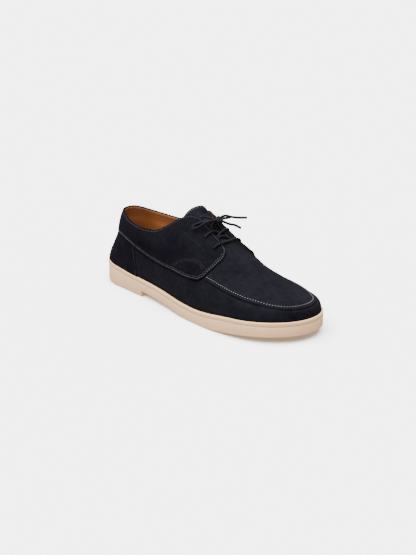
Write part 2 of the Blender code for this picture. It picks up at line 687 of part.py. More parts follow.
def make_bow(surface):
    """Knot, flattened loop and two ends, as cords."""
    last = KNOT_POINTS - 1
    knot = []
    for k in range(KNOT_POINTS):
        angle = 2 * math.pi * KNOT_TURNS * k / last - 0.5 * math.pi
        knot.append(KNOT_AT + np.array([KNOT_COIL * math.cos(angle), KNOT_WIDE * (k / last - 0.5),
                                        KNOT_COIL * math.sin(angle)]))
    cord("lace_knot", knot + KNOT_TAIL, KNOT_STEP, surface)
    cord("lace_loop", LOOP, LONG_STEP, surface)
    cord("lace_end_long", END_LONG, END_STEP, surface)
    cord("lace_end_short", END_SHORT, END_STEP, surface)


def main():
    clear_scene()
    suede = material("navy_suede", (0.012, 0.014, 0.024), 0.95)
    rubber = material("cream_rubber", (0.62, 0.47, 0.35), 0.55)
    leather = material("tan_leather", (0.36, 0.13, 0.035), 0.5)
    lace = material("navy_lace", (0.012, 0.013, 0.022), 0.9)
    make_sole(rubber)
    make_insole(leather)
    upper = make_upper(suede)
    make_tongue(suede)
    quarters = [make_quarter("quarter_lateral", -1, suede), make_quarter("quarter_medial", 1, suede)]
    make_counter(suede)
    make_moc_seam(suede)
    cut_eyelets([upper] + quarters)
    make_crossings(lace)
    make_bow(lace)


main()
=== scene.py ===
"""Looks of a lace-up moc-toe derby shoe, right foot, standing empty on a pale floor.

Every piece of the upper is cut from one surface, `LastedSurface`, by its place
round the shoe (turn: -1 toe, 0 heel along the lateral side, on to 1 at the toe
again) and its place up the wall (v: 0 at the sole, 1 at the topline).  Tables
are in millimetres, with u measured from the back of the heel.
"""
import logging
import math
from dataclasses import dataclass, replace
from enum import Enum
from typing import Callable, Sequence

import bmesh
import bpy
import numpy as np
from mathutils import Matrix, Vector
from mathutils.kdtree import KDTree


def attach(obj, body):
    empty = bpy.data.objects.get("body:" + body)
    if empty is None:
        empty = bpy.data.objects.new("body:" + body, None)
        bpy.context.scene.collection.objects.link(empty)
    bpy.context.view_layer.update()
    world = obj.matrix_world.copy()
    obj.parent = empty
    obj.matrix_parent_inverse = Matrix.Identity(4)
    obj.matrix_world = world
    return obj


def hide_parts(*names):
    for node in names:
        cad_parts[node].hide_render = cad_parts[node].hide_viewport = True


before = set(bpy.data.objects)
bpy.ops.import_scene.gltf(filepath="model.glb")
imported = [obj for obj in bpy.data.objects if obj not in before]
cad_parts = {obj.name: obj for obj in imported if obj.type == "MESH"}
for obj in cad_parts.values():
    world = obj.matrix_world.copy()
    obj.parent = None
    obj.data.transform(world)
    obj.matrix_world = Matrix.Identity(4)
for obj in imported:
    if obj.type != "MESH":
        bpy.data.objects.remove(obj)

LOG = logging.getLogger("shoe")
MM = 0.001
Numbers = float | np.ndarray
LENGTH = 300.0
MIDDLE_Y = 0.6
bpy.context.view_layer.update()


class Side(Enum):
    """Side of the shoe, as the sign of its place round the outline."""

    LATERAL = -1
    MEDIAL = 1


# ---- tables of the last, in mm -------------------------------------------------
SOLE_PLAN = np.array([
    (0.00, 33.0, 34.3), (0.12, 33.9, 33.9), (0.22, 36.0, 33.2), (0.32, 38.2, 32.4),
    (0.42, 42.2, 33.3), (0.52, 47.1, 36.9), (0.62, 49.8, 42.1), (0.72, 51.2, 46.8),
    (0.82, 50.6, 49.3), (0.92, 49.1, 49.7), (1.00, 47.6, 49.0)])
SOLE_TOP = np.array([(0, 26.2), (60, 21.0), (120, 18.4), (180, 15.6), (240, 20.8), (300, 23.4)])
SOLE_BOTTOM = np.array([(82, 6.0), (100, 5.2), (135, 3.4), (172, 0.0), (202, 0.0), (225, 2.0),
                        (264, 6.0), (300, 7.4)])
WALLS = np.array([  # at, bulge_in, bulge_up, side_in, side_z, bow, tuck
    (0.00, 5.8, 10.0, 12.2, 60.0, 0.8, 0.0), (0.08, 5.8, 10.0, 12.6, 60.0, 0.8, 0.0),
    (0.16, 5.4, 11.0, 10.2, 58.0, 1.0, 0.0), (0.26, 4.6, 13.0, 6.8, 53.0, 1.8, 0.0),
    (0.36, 3.8, 13.0, 6.0, 50.0, 2.6, 0.0), (0.46, 3.6, 13.0, 7.4, 52.0, 4.6, 0.3),
    (0.56, 3.6, 13.0, 9.4, 54.0, 6.4, 1.2), (0.64, 3.6, 12.0, 10.7, 50.5, 5.8, 2.6),
    (0.72, 3.6, 10.0, 10.8, 45.5, 3.2, 3.8), (0.80, 3.6, 9.0, 11.0, 41.8, 1.9, 4.0),
    (0.88, 3.8, 8.0, 11.0, 38.6, 1.3, 2.8), (0.95, 3.8, 7.6, 11.0, 37.3, 1.0, 0.7),
    (1.00, 3.8, 7.5, 11.0, 37.0, 0.9, 0.0)])
TOPS = np.array([  # at, u, half, z
    (0.00, 16.8, 0.0, 84.2), (0.05, 18.2, 6.2, 84.0), (0.10, 23.0, 11.6, 83.0),
    (0.16, 33.6, 17.4, 80.8), (0.22, 49.4, 23.2, 78.4), (0.30, 74.0, 27.6, 76.8),
    (0.37, 95.0, 28.4, 78.8), (0.43, 112.0, 24.8, 87.2), (0.48, 127.0, 18.0, 97.6),
    (0.51, 138.0, 12.4, 101.8), (0.53, 145.0, 9.6, 101.3), (0.55, 151.0, 8.0, 97.8),
    (0.60, 166.0, 7.6, 87.6), (0.65, 183.0, 7.6, 78.4), (0.665, 188.0, 5.0, 76.0),
    (0.68, 191.0, 0.0, 74.6), (0.74, 205.0, 0.0, 67.8), (0.82, 225.0, 0.0, 59.0),
    (0.90, 246.0, 0.0, 50.6), (1.00, 270.0, 0.0, 43.2)])
TOP_AXIS = np.array([(0, 0.0), (60, 0.6), (120, 2.0), (180, 2.0), (230, 2.6), (260, 4.2), (300, 8.6)])
QUARTER_EDGE = np.array([(0.0, 0.41), (0.143, 0.412), (0.178, 0.394), (0.242, 0.384), (0.30, 0.366),
                         (0.356, 0.354), (0.412, 0.343), (0.468, 0.338), (0.524, 0.332), (0.70, 0.331)])
QUARTER_FRONT = np.array([(0.0, 0.548), (0.016, 0.5726), (0.064, 0.593), (0.117, 0.604),
                          (0.27, 0.630), (0.414, 0.6526), (0.543, 0.6653), (0.637, 0.672),
                          (0.723, 0.6738), (0.823, 0.670), (0.94, 0.659), (1.0, 0.640)])
SEAM = np.array([(0.60, 0.425), (0.76, 0.426), (0.80, 0.429), (0.835, 0.428), (0.86, 0.418),
                 (0.885, 0.409), (0.92, 0.388), (0.96, 0.382), (1.0, 0.380)])
ARCH_ROW = [(-0.444, 0.408), (-0.458, 0.44), (-0.482, 0.483), (-0.498, 0.493), (-0.517, 0.513),
            (-0.534, 0.521), (-0.556, 0.535), (-0.570, 0.541), (-0.591, 0.539), (-0.603, 0.504)]
FACING_ROW = [(-0.507, 0.783), (-0.539, 0.734), (-0.571, 0.727), (-0.601, 0.706), (-0.633, 0.684)]
FOOT_SPREAD = np.array([  # at, spread, height it fades over
    (0.0, 3.0, 19.0), (0.14, 2.6, 16.0), (0.28, 1.9, 8.0), (0.5, 1.8, 6.0), (0.75, 1.5, 6.0),
    (1.0, 1.2, 6.0)])
RIDGE_LIFT = np.array([(0.0, 0.0), (0.655, 0.0), (0.69, 0.5), (0.74, 1.0), (0.82, 1.1), (0.90, 0.9),
                       (0.96, 0.4), (1.0, 0.2)])
TONGUE_DEPTH = np.array([(0.55, 2.7), (0.58, 3.8), (0.61, 3.4), (0.63, 2.0), (0.645, 0.8), (0.657, 0.05),
                         (0.665, -0.12), (0.677, -0.12), (0.684, 0.3), (0.691, 1.0), (0.705, 2.0)])
TONGUE_REACH = np.array([(0.512, 15.2), (0.55, 16.6), (0.60, 19.0), (0.65, 17.0), (0.70, 13.0)])
TONGUE_TOP = np.array([  # s, u, y, z
    (-1.0, 126.6, -14.2, 95.9), (-0.88, 127.8, -13.0, 98.6), (-0.72, 129.8, -11.0, 102.2),
    (-0.52, 132.5, -8.2, 105.9), (-0.28, 136.0, -4.3, 108.6),
    (0.0, 139.6, 0.6, 109.8), (0.33, 140.6, 5.2, 108.2), (0.66, 140.0, 9.3, 104.6),
    (1.0, 137.6, 11.9, 101.4)])


def read(rows: np.ndarray, column: int, x: float) -> float:
    """Read a table on a smooth curve through its rows.

    Args:
        rows: Table whose first column rises.
        column: Column to read.
        x: Where to read it.

    Returns:
        The value, kept at the first or last row's beyond the table's ends.
    """
    xs, ys = rows[:, 0], rows[:, column]
    if x <= xs[0] or x >= xs[-1]:
        return float(ys[0] if x <= xs[0] else ys[-1])
    k = int(np.searchsorted(xs, x, side="right")) - 1
    steps = np.diff(xs)
    rates = np.diff(ys) / steps

    def slope(i: int) -> float:
        """Slope of the curve at one row, flat where the table turns.

        Args:
            i: Row.

        Returns:
            The slope.
        """
        if i in (0, len(xs) - 1) or rates[i - 1] * rates[i] <= 0.0:
            return 0.0
        near, far = steps[i - 1], steps[i]
        return (near + far) * 3.0 / ((2 * far + near) / rates[i - 1] + (far + 2 * near) / rates[i])

    t = (x - xs[k]) / steps[k]
    return float(hermite(ys[k], ys[k + 1], slope(k) * steps[k], slope(k + 1) * steps[k], t))


def hermite(a: Numbers, b: Numbers, leave: Numbers, arrive: Numbers, t: Numbers) -> Numbers:
    """Cubic curve from a at t 0 to b at t 1, with its speeds at both ends."""
    return ((2 * t ** 3 - 3 * t ** 2 + 1) * a + (t ** 3 - 2 * t ** 2 + t) * leave
            + (3 * t ** 2 - 2 * t ** 3) * b + (t ** 3 - t ** 2) * arrive)


def drawn(rows: np.ndarray, column: int = 1) -> Callable[[np.ndarray], np.ndarray]:
    """Quick reader of one table column for whole arrays.

    Args:
        rows: Table whose first column rises.
        column: Column to read.

    Returns:
        Function that reads whole arrays.
    """
    xs = np.linspace(rows[0, 0], rows[-1, 0], 600)
    ys = np.array([read(rows, column, x) for x in xs])
    return lambda x: np.interp(x, xs, ys)


def dip(away: Numbers, depth: float, width: float) -> Numbers:
    """Soft furrow of a depth and half width, at distance 0."""
    return -depth * np.exp(-(np.asarray(away) / width) ** 2)


def ease(x: Numbers, start: float, end: float) -> Numbers:
    """0 before start, 1 after end, smooth between."""
    t = np.clip((np.asarray(x, float) - start) / (end - start), 0.0, 1.0)
    return t * t * (3 - 2 * t)


def unit(vectors: np.ndarray) -> np.ndarray:
    """Vectors scaled to length 1 along their last axis."""
    return vectors / np.maximum(np.linalg.norm(vectors, axis=-1, keepdims=True), 1e-12)


def rounded(away: np.ndarray, radius: float) -> np.ndarray:
    """Height from 0 to 1 of an edge rounded over a radius, at distances from it."""
    return np.sqrt(np.clip(1 - (1 - np.minimum(away / radius, 1.0)) ** 2, 0, 1))


def arc_lengths(line: np.ndarray) -> np.ndarray:
    """Distance travelled along a line to each of its points, from 0."""
    return np.concatenate([[0], np.cumsum(np.linalg.norm(np.diff(line, axis=0), axis=1))])


def to_metres(points: np.ndarray) -> np.ndarray:
    """Table points (u, y, z) in mm as points of the part's frame in metres."""
    return (np.asarray(points, float) - np.array([LENGTH / 2, MIDDLE_Y, 0.0])) * MM


# ---- outline and lasted surface ------------------------------------------------
@dataclass(frozen=True)
class LastSizes:
    """Sizes of the outline and the wall, in mm."""

    heel_cap: float = 34.0
    toe_cap: float = 62.0
    toe_swing: float = 8.6
    breast_u: float = 82.0
    breast_lean: float = 0.4
    rim_width: float = 3.0
    rim_depth: float = 3.4
    gap: float = 0.3
    heel_power: float = 2.2
    toe_power: float = 2.3
    toe_root: float = 2.1
    swing_from: float = 0.6
    tuck_fall: float = 0.35
    cheek: float = 0.5
    throat_at: float = 0.68


class Outline:
    """Plan of the sole, shared by every other piece."""

    def __init__(self, sizes: LastSizes) -> None:
        """Measure the outline's length.

        Args:
            sizes: Driving sizes.
        """
        self.sizes = sizes
        angles = np.linspace(0, math.pi, 1201)
        self.us = LENGTH * (1 - np.cos(angles)) / 2
        ys = [(self.half_width(-1, u) + self.half_width(1, u)) / 2 for u in self.us]
        arcs = np.concatenate([[0], np.cumsum(np.hypot(np.diff(self.us), np.diff(ys)))])
        self.arcs = arcs / arcs[-1]

    def half_width(self, side: int, u: float) -> float:
        """Half width of the sole at u, on one side.

        Args:
            side: -1 lateral, 1 medial.
            u: Distance from the back of the heel, mm.

        Returns:
            The half width, mm.
        """
        s = self.sizes
        width = read(SOLE_PLAN, 2 if side > 0 else 1, u / LENGTH)
        if u < s.heel_cap:
            width *= max(1 - ((s.heel_cap - u) / s.heel_cap) ** s.heel_power, 0.0) ** (1 / s.heel_power)
        if u > LENGTH - s.toe_cap:
            width *= max(1 - ((u - LENGTH + s.toe_cap) / s.toe_cap) ** s.toe_power, 0.0) ** (1 / s.toe_root)
        return width

    def swing(self, u: float) -> float:
        """Lean of the outline's middle towards the medial side."""
        start = self.sizes.swing_from
        return self.sizes.toe_swing * min(max((u / LENGTH - start) / (1 - start), 0.0), 1.0) ** 2

    def u_at(self, at: float) -> float:
        """The u of a share of the outline."""
        return float(np.interp(at, self.arcs, self.us))

    def at_u(self, u: float) -> float:
        """The share of the outline at u."""
        return float(np.interp(u, self.us, self.arcs))

    def rim(self, turn: float, inset: float = 0.0) -> np.ndarray:
        """Point of the outline moved inwards, in plan.

        Args:
            turn: Place round the shoe.
            inset: Distance inwards, mm.

        Returns:
            The point (u, y).
        """
        def edge(t: float) -> np.ndarray:
            """Point of the outline itself.

            Args:
                t: Place round the shoe.

            Returns:
                The point (u, y).
            """
            t = (t + 1) % 2 - 1
            u = self.u_at(abs(t))
            side = 1 if t > 0 else -1
            return np.array([u, self.swing(u) + side * self.half_width(side, u)])

        tangent = edge(turn + 0.004) - edge(turn - 0.004)
        tangent /= np.linalg.norm(tangent)
        return edge(turn) + inset * np.array([tangent[1], -tangent[0]])

    def top(self, u: float) -> float:
        """Height of the sole's rim."""
        return read(SOLE_TOP, 1, u)

    def bottom(self, u: float) -> float:
        """Height of the tread."""
        return 0.0 if u <= self.sizes.breast_u else read(SOLE_BOTTOM, 1, u)

    def on_seat(self, plan: np.ndarray, lift: float = 0.0) -> np.ndarray:
        """Point of the sole's seat at a place in plan."""
        return np.append(plan, self.top(plan[0]) - self.sizes.rim_depth + lift)


class LastedSurface:
    """Outer surface of the upper as a fine table of points and outward directions."""

    ROW_KNOTS = (0.0, 0.18, 0.42, 0.70, 1.0)

    def __init__(self, outline: Outline, turns: int = 1201, rows: int = 161) -> None:
        """Lay out the table.

        Args:
            outline: Plan of the sole.
            turns: Sections round the shoe.
            rows: Points up each section.
        """
        self.outline = outline
        self.turns, self.rows = turns, rows
        places = np.linspace(-1, 1, turns)
        self.points = np.array([self._section(t, np.linspace(0, 1, rows)) for t in places])
        self.round_way = np.empty_like(self.points)
        self.round_way[1:-1] = self.points[2:] - self.points[:-2]
        self.round_way[0] = self.round_way[-1] = self.points[1] - self.points[-2]
        self.up_way = np.gradient(self.points, axis=1)
        normals = unit(np.cross(self.up_way, self.round_way))
        closed = np.abs(places) > outline.sizes.throat_at
        mean = unit(normals[:, -1] + normals[::-1, -1])
        normals[closed, -1] = mean[closed]
        self.normals = normals

    def _rails(self, turn: float) -> list[np.ndarray]:
        """The five guide points of the wall at one place.

        Args:
            turn: Place round the shoe.

        Returns:
            Foot, bulge, flank, cheek and top, in mm.
        """
        out, s = self.outline, self.outline.sizes
        at, side = abs(turn), (1 if turn > 0 else -1)
        u = out.u_at(at)
        bulge_in, bulge_up, side_in, side_z, bow, tuck = (read(WALLS, k, at) for k in range(1, 7))
        if side > 0:
            side_in += tuck
            side_z -= s.tuck_fall * tuck
        low = out.on_seat(out.rim(turn, s.rim_width + s.gap), s.gap)
        bulge = np.append(out.rim(turn, bulge_in), out.top(u) + bulge_up)
        flank = np.append(out.rim(turn, side_in), side_z)
        top_u = read(TOPS, 1, at)
        top = np.array([top_u, read(TOP_AXIS, 1, top_u) + side * read(TOPS, 2, at), read(TOPS, 3, at)])
        chord = unit(top - flank)
        outward = np.append(out.rim(turn) - out.rim(turn, 1.0), 0.0)
        normal = unit(outward - outward.dot(chord) * chord)
        return [low, bulge, flank, flank + (top - flank) * s.cheek + normal * bow, top]

    def _section(self, turn: float, vs: np.ndarray) -> np.ndarray:
        """Points of one section at each v.

        Args:
            turn: Place round the shoe.
            vs: Places up the wall.

        Returns:
            Points in mm, one row each.
        """
        points = self._rails(turn)
        knots = self.ROW_KNOTS
        steps = np.diff(knots)
        slopes = [(points[i + 1] - points[i]) / steps[i] for i in range(4)]
        speeds = [None] * 5
        for i in (1, 2, 3):
            speeds[i] = (slopes[i - 1] * steps[i] + slopes[i] * steps[i - 1]) / (steps[i - 1] + steps[i])
        speeds[0] = 1.5 * slopes[0] - 0.5 * speeds[1]
        speeds[4] = 1.5 * slopes[3] - 0.5 * speeds[3]
        at, throat = abs(turn), self.outline.sizes.throat_at
        closed = float(ease(at, throat - 0.04, throat) * (1 - ease(at, 0.93, 1.0)))
        if closed > 0:
            across = (self._rails(-turn)[3] - points[3]) / (2 * steps[3])
            speeds[4] = speeds[4] * (1 - closed) + across * closed
        ks = np.clip(np.searchsorted(knots, vs, side="right") - 1, 0, 3)
        result = np.empty((len(vs), 3))
        for i, (k, v) in enumerate(zip(ks, vs)):
            result[i] = hermite(points[k], points[k + 1], speeds[k] * steps[k], speeds[k + 1] * steps[k],
                                (v - knots[k]) / steps[k])
        return result

    def _blend(self, table: np.ndarray, turn: np.ndarray, v: np.ndarray) -> np.ndarray:
        """Bilinear reading of one of the tables.

        Args:
            table: Table of points or directions.
            turn: Places round the shoe.
            v: Places up the wall.

        Returns:
            The blended rows.
        """
        a = (np.clip(turn, -1, 1) + 1) / 2 * (self.turns - 1)
        b = np.clip(v, 0, 1) * (self.rows - 1)
        i = np.minimum(a.astype(int), self.turns - 2)
        j = np.minimum(b.astype(int), self.rows - 2)
        fa, fb = (a - i)[..., None], (b - j)[..., None]
        return ((table[i, j] * (1 - fa) + table[i + 1, j] * fa) * (1 - fb)
                + (table[i, j + 1] * (1 - fa) + table[i + 1, j + 1] * fa) * fb)

    def at(self, turn: Numbers, v: Numbers, out: Numbers = 0.0) -> np.ndarray:
        """Points of the surface moved outwards.

        Args:
            turn: Place or places round the shoe.
            v: Place or places up the wall.
            out: Distance outwards, mm.

        Returns:
            Points in mm, one more axis than the places.
        """
        turn, v, out = np.broadcast_arrays(np.asarray(turn, float), np.asarray(v, float),
                                           np.asarray(out, float))
        return self._blend(self.points, turn, v) + out[..., None] * self.outward(turn, v)

    def outward(self, turn: Numbers, v: Numbers) -> np.ndarray:
        """Outward directions."""
        turn, v = np.broadcast_arrays(np.asarray(turn, float), np.asarray(v, float))
        return unit(self._blend(self.normals, turn, v))

    def rates(self, turn: Numbers, v: Numbers) -> tuple[np.ndarray, np.ndarray]:
        """How far, in mm, a point moves for a whole turn and for a whole v.

        Args:
            turn: Place or places round the shoe.
            v: Place or places up the wall.

        Returns:
            The two directions, in mm for a whole share.
        """
        turn, v = np.broadcast_arrays(np.asarray(turn, float), np.asarray(v, float))
        step_turn = 4.0 / (self.turns - 1)
        return (self._blend(self.round_way, turn, v) / step_turn,
                self._blend(self.up_way, turn, v) * (self.rows - 1))

    def rise(self, turn: Numbers, v: Numbers) -> np.ndarray:
        """Millimetres travelled up the wall for a whole share v."""
        return np.linalg.norm(self.rates(turn, v)[1], axis=-1)

    def beside(self, line: np.ndarray, shift: float) -> np.ndarray:
        """Line of (turn, v) places moved sideways along the surface.

        Args:
            line: Places, one row each, in order.
            shift: Distance in mm, to the left of the way of travel seen from outside.

        Returns:
            The moved places.
        """
        points = self.at(line[:, 0], line[:, 1])
        way = unit(np.gradient(points, axis=0))
        aside = unit(np.cross(self.outward(line[:, 0], line[:, 1]), way))
        by_turn, by_v = self.rates(line[:, 0], line[:, 1])
        moved = line.copy()
        for k in range(len(line)):
            jacobian = np.stack([by_turn[k], by_v[k]], axis=1)
            moved[k] += np.linalg.lstsq(jacobian, aside[k] * shift, rcond=None)[0]
        return moved


PLACE_SCALE = (345.0, 60.0)  # mm for a whole turn and a whole v, roughly


def soft_line(places: Sequence[Sequence[float]], count: int) -> np.ndarray:
    """Smooth line through places in the plane or in space.

    Args:
        places: Guide points.
        count: Points on the line, evenly spread by length of the guides.

    Returns:
        The line's points, one row each.
    """
    guides = np.asarray(places, float)
    scale = np.array(PLACE_SCALE) if guides.shape[1] == 2 else 1.0
    arcs = arc_lengths(guides * scale)
    stops = np.linspace(0, arcs[-1], count)
    before = np.vstack([guides[0], guides[:-1]])
    after = np.vstack([guides[1:], guides[-1]])
    steps = np.diff(arcs)
    spans = np.concatenate([steps[:1], steps[:-1] + steps[1:], steps[-1:]])
    speeds = (after - before) / spans[:, None]
    ks = np.clip(np.searchsorted(arcs, stops, side="right") - 1, 0, len(guides) - 2)
    rows = [hermite(guides[k], guides[k + 1], speeds[k] * steps[k], speeds[k + 1] * steps[k],
                    (s - arcs[k]) / steps[k]) for k, s in zip(ks, stops)]
    return np.array(rows)


# ---- meshes ------------------------------------------------------------------------
def link(name: str, mesh: bpy.types.ID) -> bpy.types.Object:
    """Put a mesh in the scene as one object.

    Args:
        name: Piece name.
        mesh: Its mesh or curve.

    Returns:
        The object, at the origin.
    """
    item = bpy.data.objects.new(name, mesh)
    bpy.context.collection.objects.link(item)
    return item


def sheet(name: str, points: np.ndarray, marks: dict[str, np.ndarray] | None = None,
          calm: tuple[str, int] | None = None) -> bpy.types.Object:
    """Mesh from a grid of points.

    Args:
        name: Piece name.
        points: Array (columns, rows, 3), in mm.
        marks: Vertex attributes by name, each an array (columns, rows).
        calm: Attribute that marks where the sheet is smoothed, and how many times.

    Returns:
        The object; seams whose points meet are welded.
    """
    columns, rows = points.shape[:2]
    placed = to_metres(points)
    bm = bmesh.new()
    bmesh.ops.create_grid(bm, x_segments=columns - 1, y_segments=rows - 1, size=0.5)
    layers = {key: bm.verts.layers.float.new(key) for key in (marks or {})}
    for vert in bm.verts:
        c = round((vert.co.x + 0.5) * (columns - 1))
        r = round((vert.co.y + 0.5) * (rows - 1))
        vert.co = placed[c, r]
        for key, layer in layers.items():
            vert[layer] = float(marks[key][c, r])
    bmesh.ops.remove_doubles(bm, verts=bm.verts, dist=2e-6)
    bmesh.ops.dissolve_degenerate(bm, edges=bm.edges, dist=1e-6)
    if calm:
        chosen = [vert for vert in bm.verts if vert[layers[calm[0]]] > 0.5]
        for _ in range(calm[1]):
            bmesh.ops.smooth_vert(bm, verts=chosen, factor=0.5,
                                  use_axis_x=True, use_axis_y=True, use_axis_z=True)
    bmesh.ops.recalc_face_normals(bm, faces=bm.faces)
    mesh = bpy.data.meshes.new(name)
    bm.to_mesh(mesh)
    bm.free()
    mesh.shade_smooth()
    return link(name, mesh)


def face_along(item: bpy.types.Object, place: np.ndarray, way: np.ndarray) -> None:
    """Flip a sheet if its face nearest a place looks away from a direction.

    Args:
        item: The sheet.
        place: Place near the face to test, mm.
        way: Direction the face has to look.
    """
    place = Vector(to_metres(place))
    face = min(item.data.polygons, key=lambda f: (f.center - place).length_squared)
    if face.normal.dot(Vector(way)) < 0:
        item.data.flip_normals()


def thicken(item: bpy.types.Object, thickness: float, offset: float = -1.0) -> None:
    """Give a sheet a wall.

    Args:
        item: The sheet.
        thickness: Wall, mm.
        offset: -1 grows it inwards, 1 outwards.
    """
    solid = item.modifiers.new("wall", "SOLIDIFY")
    solid.thickness = thickness * MM
    solid.offset = offset
    solid.use_even_offset = False


def settle(item: bpy.types.Object) -> bpy.types.Object:
    """Apply an object's modifiers to its mesh.

    Args:
        item: Object with modifiers.

    Returns:
        The same object.
    """
    graph = bpy.context.evaluated_depsgraph_get()
    mesh = bpy.data.meshes.new_from_object(item.evaluated_get(graph))
    item.modifiers.clear()
    item.data = mesh
    return item


def distance_to(points: np.ndarray, line: np.ndarray) -> np.ndarray:
    """Distance of each point to the nearest point of a line, same units.

    Args:
        points: Points, any leading axes.
        line: Points of the line, one row each.

    Returns:
        Distances.
    """
    tree = KDTree(len(line))
    for k, point in enumerate(line):
        tree.insert(point, k)
    tree.balance()
    flat = points.reshape(-1, 3)
    return np.array([tree.find(point)[2] for point in flat]).reshape(points.shape[:-1])


CORD_STEP = 0.9  # mm between a cord's points


def tube(name: str, guides: Sequence[np.ndarray], radius: float) -> bpy.types.Object:
    """Round cord along a soft line of guide points, as a curve of one spline.

    Args:
        name: Piece name.
        guides: Points the line passes, mm.
        radius: Half the cord's thickness, mm.

    Returns:
        The curve object.
    """
    guides = np.array(guides)
    length = np.linalg.norm(np.diff(guides, axis=0), axis=1).sum()
    line = soft_line(guides, max(int(length / CORD_STEP), 12))
    curve = bpy.data.curves.new(name, "CURVE")
    curve.dimensions = "3D"
    curve.bevel_depth = radius * MM
    curve.bevel_resolution = 4
    curve.use_fill_caps = True
    spline = curve.splines.new("POLY")
    spline.points.add(len(line) - 1)
    for point, place in zip(spline.points, to_metres(line)):
        point.co = (*place, 1.0)
    return link(name, curve)


def dress(item: bpy.types.Object, finish: bpy.types.Material, slot: str, *nodes: str) -> None:
    """Give a piece its material and body, and hide the CAD nodes that it stands for.

    Args:
        item: The piece.
        finish: Its material.
        slot: Not used.
        *nodes: Nodes that it replaces.
    """
    item.data.materials.clear()
    item.data.materials.append(finish)
    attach(item, "root")
    if nodes:
        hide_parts(*nodes)
    LOG.info("%s: %d faces", item.name, len(getattr(item.data, "polygons", [])))


def crowded(count: int, ends: Sequence[float], span: float) -> np.ndarray:
    """Shares from 0 to 1 that crowd near both ends.

    Args:
        count: Even steps in the middle.
        ends: Distances from an end, in the units of span.
        span: Length that 1 stands for.

    Returns:
        Rising shares.
    """
    near = np.array(ends) / span
    inner = np.linspace(near[-1], 1 - near[-1], count)
    return np.concatenate([near[:-1], inner, 1 - near[:-1][::-1]])


# ---- materials ---------------------------------------------------------------------
@dataclass(frozen=True)
class Finish:
    """A surface's colours and sizes for its node material."""

    name: str
    base: tuple[float, float, float]
    light: tuple[float, float, float]
    roughness: float
    grain: float
    bump: float
    sheen: float = 0.0
    shine: float = 0.4
    mottle: float = 0.5


SUEDE = Finish("navy_suede", (0.0021, 0.0020, 0.0031), (0.0061, 0.0056, 0.0085), 0.95, 1500.0, 0.00025,
               0.004, 0.02)
RUBBER = Finish("cream_rubber", (0.515, 0.305, 0.158), (0.555, 0.333, 0.176), 0.5, 900.0, 0.00002)
LEATHER = Finish("tan_leather", (0.078, 0.0245, 0.0062), (0.108, 0.0355, 0.0094), 0.6, 620.0, 0.00006,
                 0.0, 0.12)
LACE = Finish("navy_lace", (0.0026, 0.0025, 0.0038), (0.0085, 0.0080, 0.0110), 0.85, 1500.0, 0.00012,
              0.01, 0.06)
GHOST = Finish("ghost_thread", (0.0065, 0.0062, 0.0082), (0.012, 0.0115, 0.0145), 0.85, 3000.0, 0.00004)
FAINT = Finish("dim_thread", (0.014, 0.014, 0.018), (0.026, 0.025, 0.031), 0.85, 3000.0, 0.00004)
THREAD = Finish("grey_thread", (0.030, 0.029, 0.035), (0.054, 0.052, 0.059), 0.8, 3000.0, 0.00004)
WHIP = Finish("pale_thread", (0.075, 0.071, 0.074), (0.125, 0.118, 0.120), 0.8, 3000.0, 0.00004)
TAN_THREAD = Finish("tan_thread", (0.085, 0.030, 0.010), (0.120, 0.045, 0.016), 0.8, 3000.0, 0.00004)
RAW_EDGE = Finish("raw_edge", (0.009, 0.0048, 0.0022), (0.030, 0.0160, 0.0062), 0.85, 2200.0, 0.0001,
                  0.0, 0.1)
# Darker copy of the suede for the quarters and the counter: painted shade on the side panels.
SHADED_SIDE_SUEDE = replace(SUEDE, name="navy_side_suede_painted_shade", base=(0.0014, 0.0013, 0.0021),
                     light=(0.0044, 0.0040, 0.0061))
TONGUE_SUEDE = replace(SUEDE, name="navy_tongue_suede_painted_light")
# Lighter suede mixed in towards the tongue's crest: painted light from above.
CREST_PAINTED_LIGHT = (0.0085, 0.0078, 0.0118)
# Lighter tan on the lining at the heel: painted light that lifts the shade inside the back; the second colour
# is the paler band along the lining's topline.
HEEL_PAINTED_LIGHT_TAN, BAND_TAN = (0.150, 0.0500, 0.0145), (0.240, 0.0900, 0.0300)


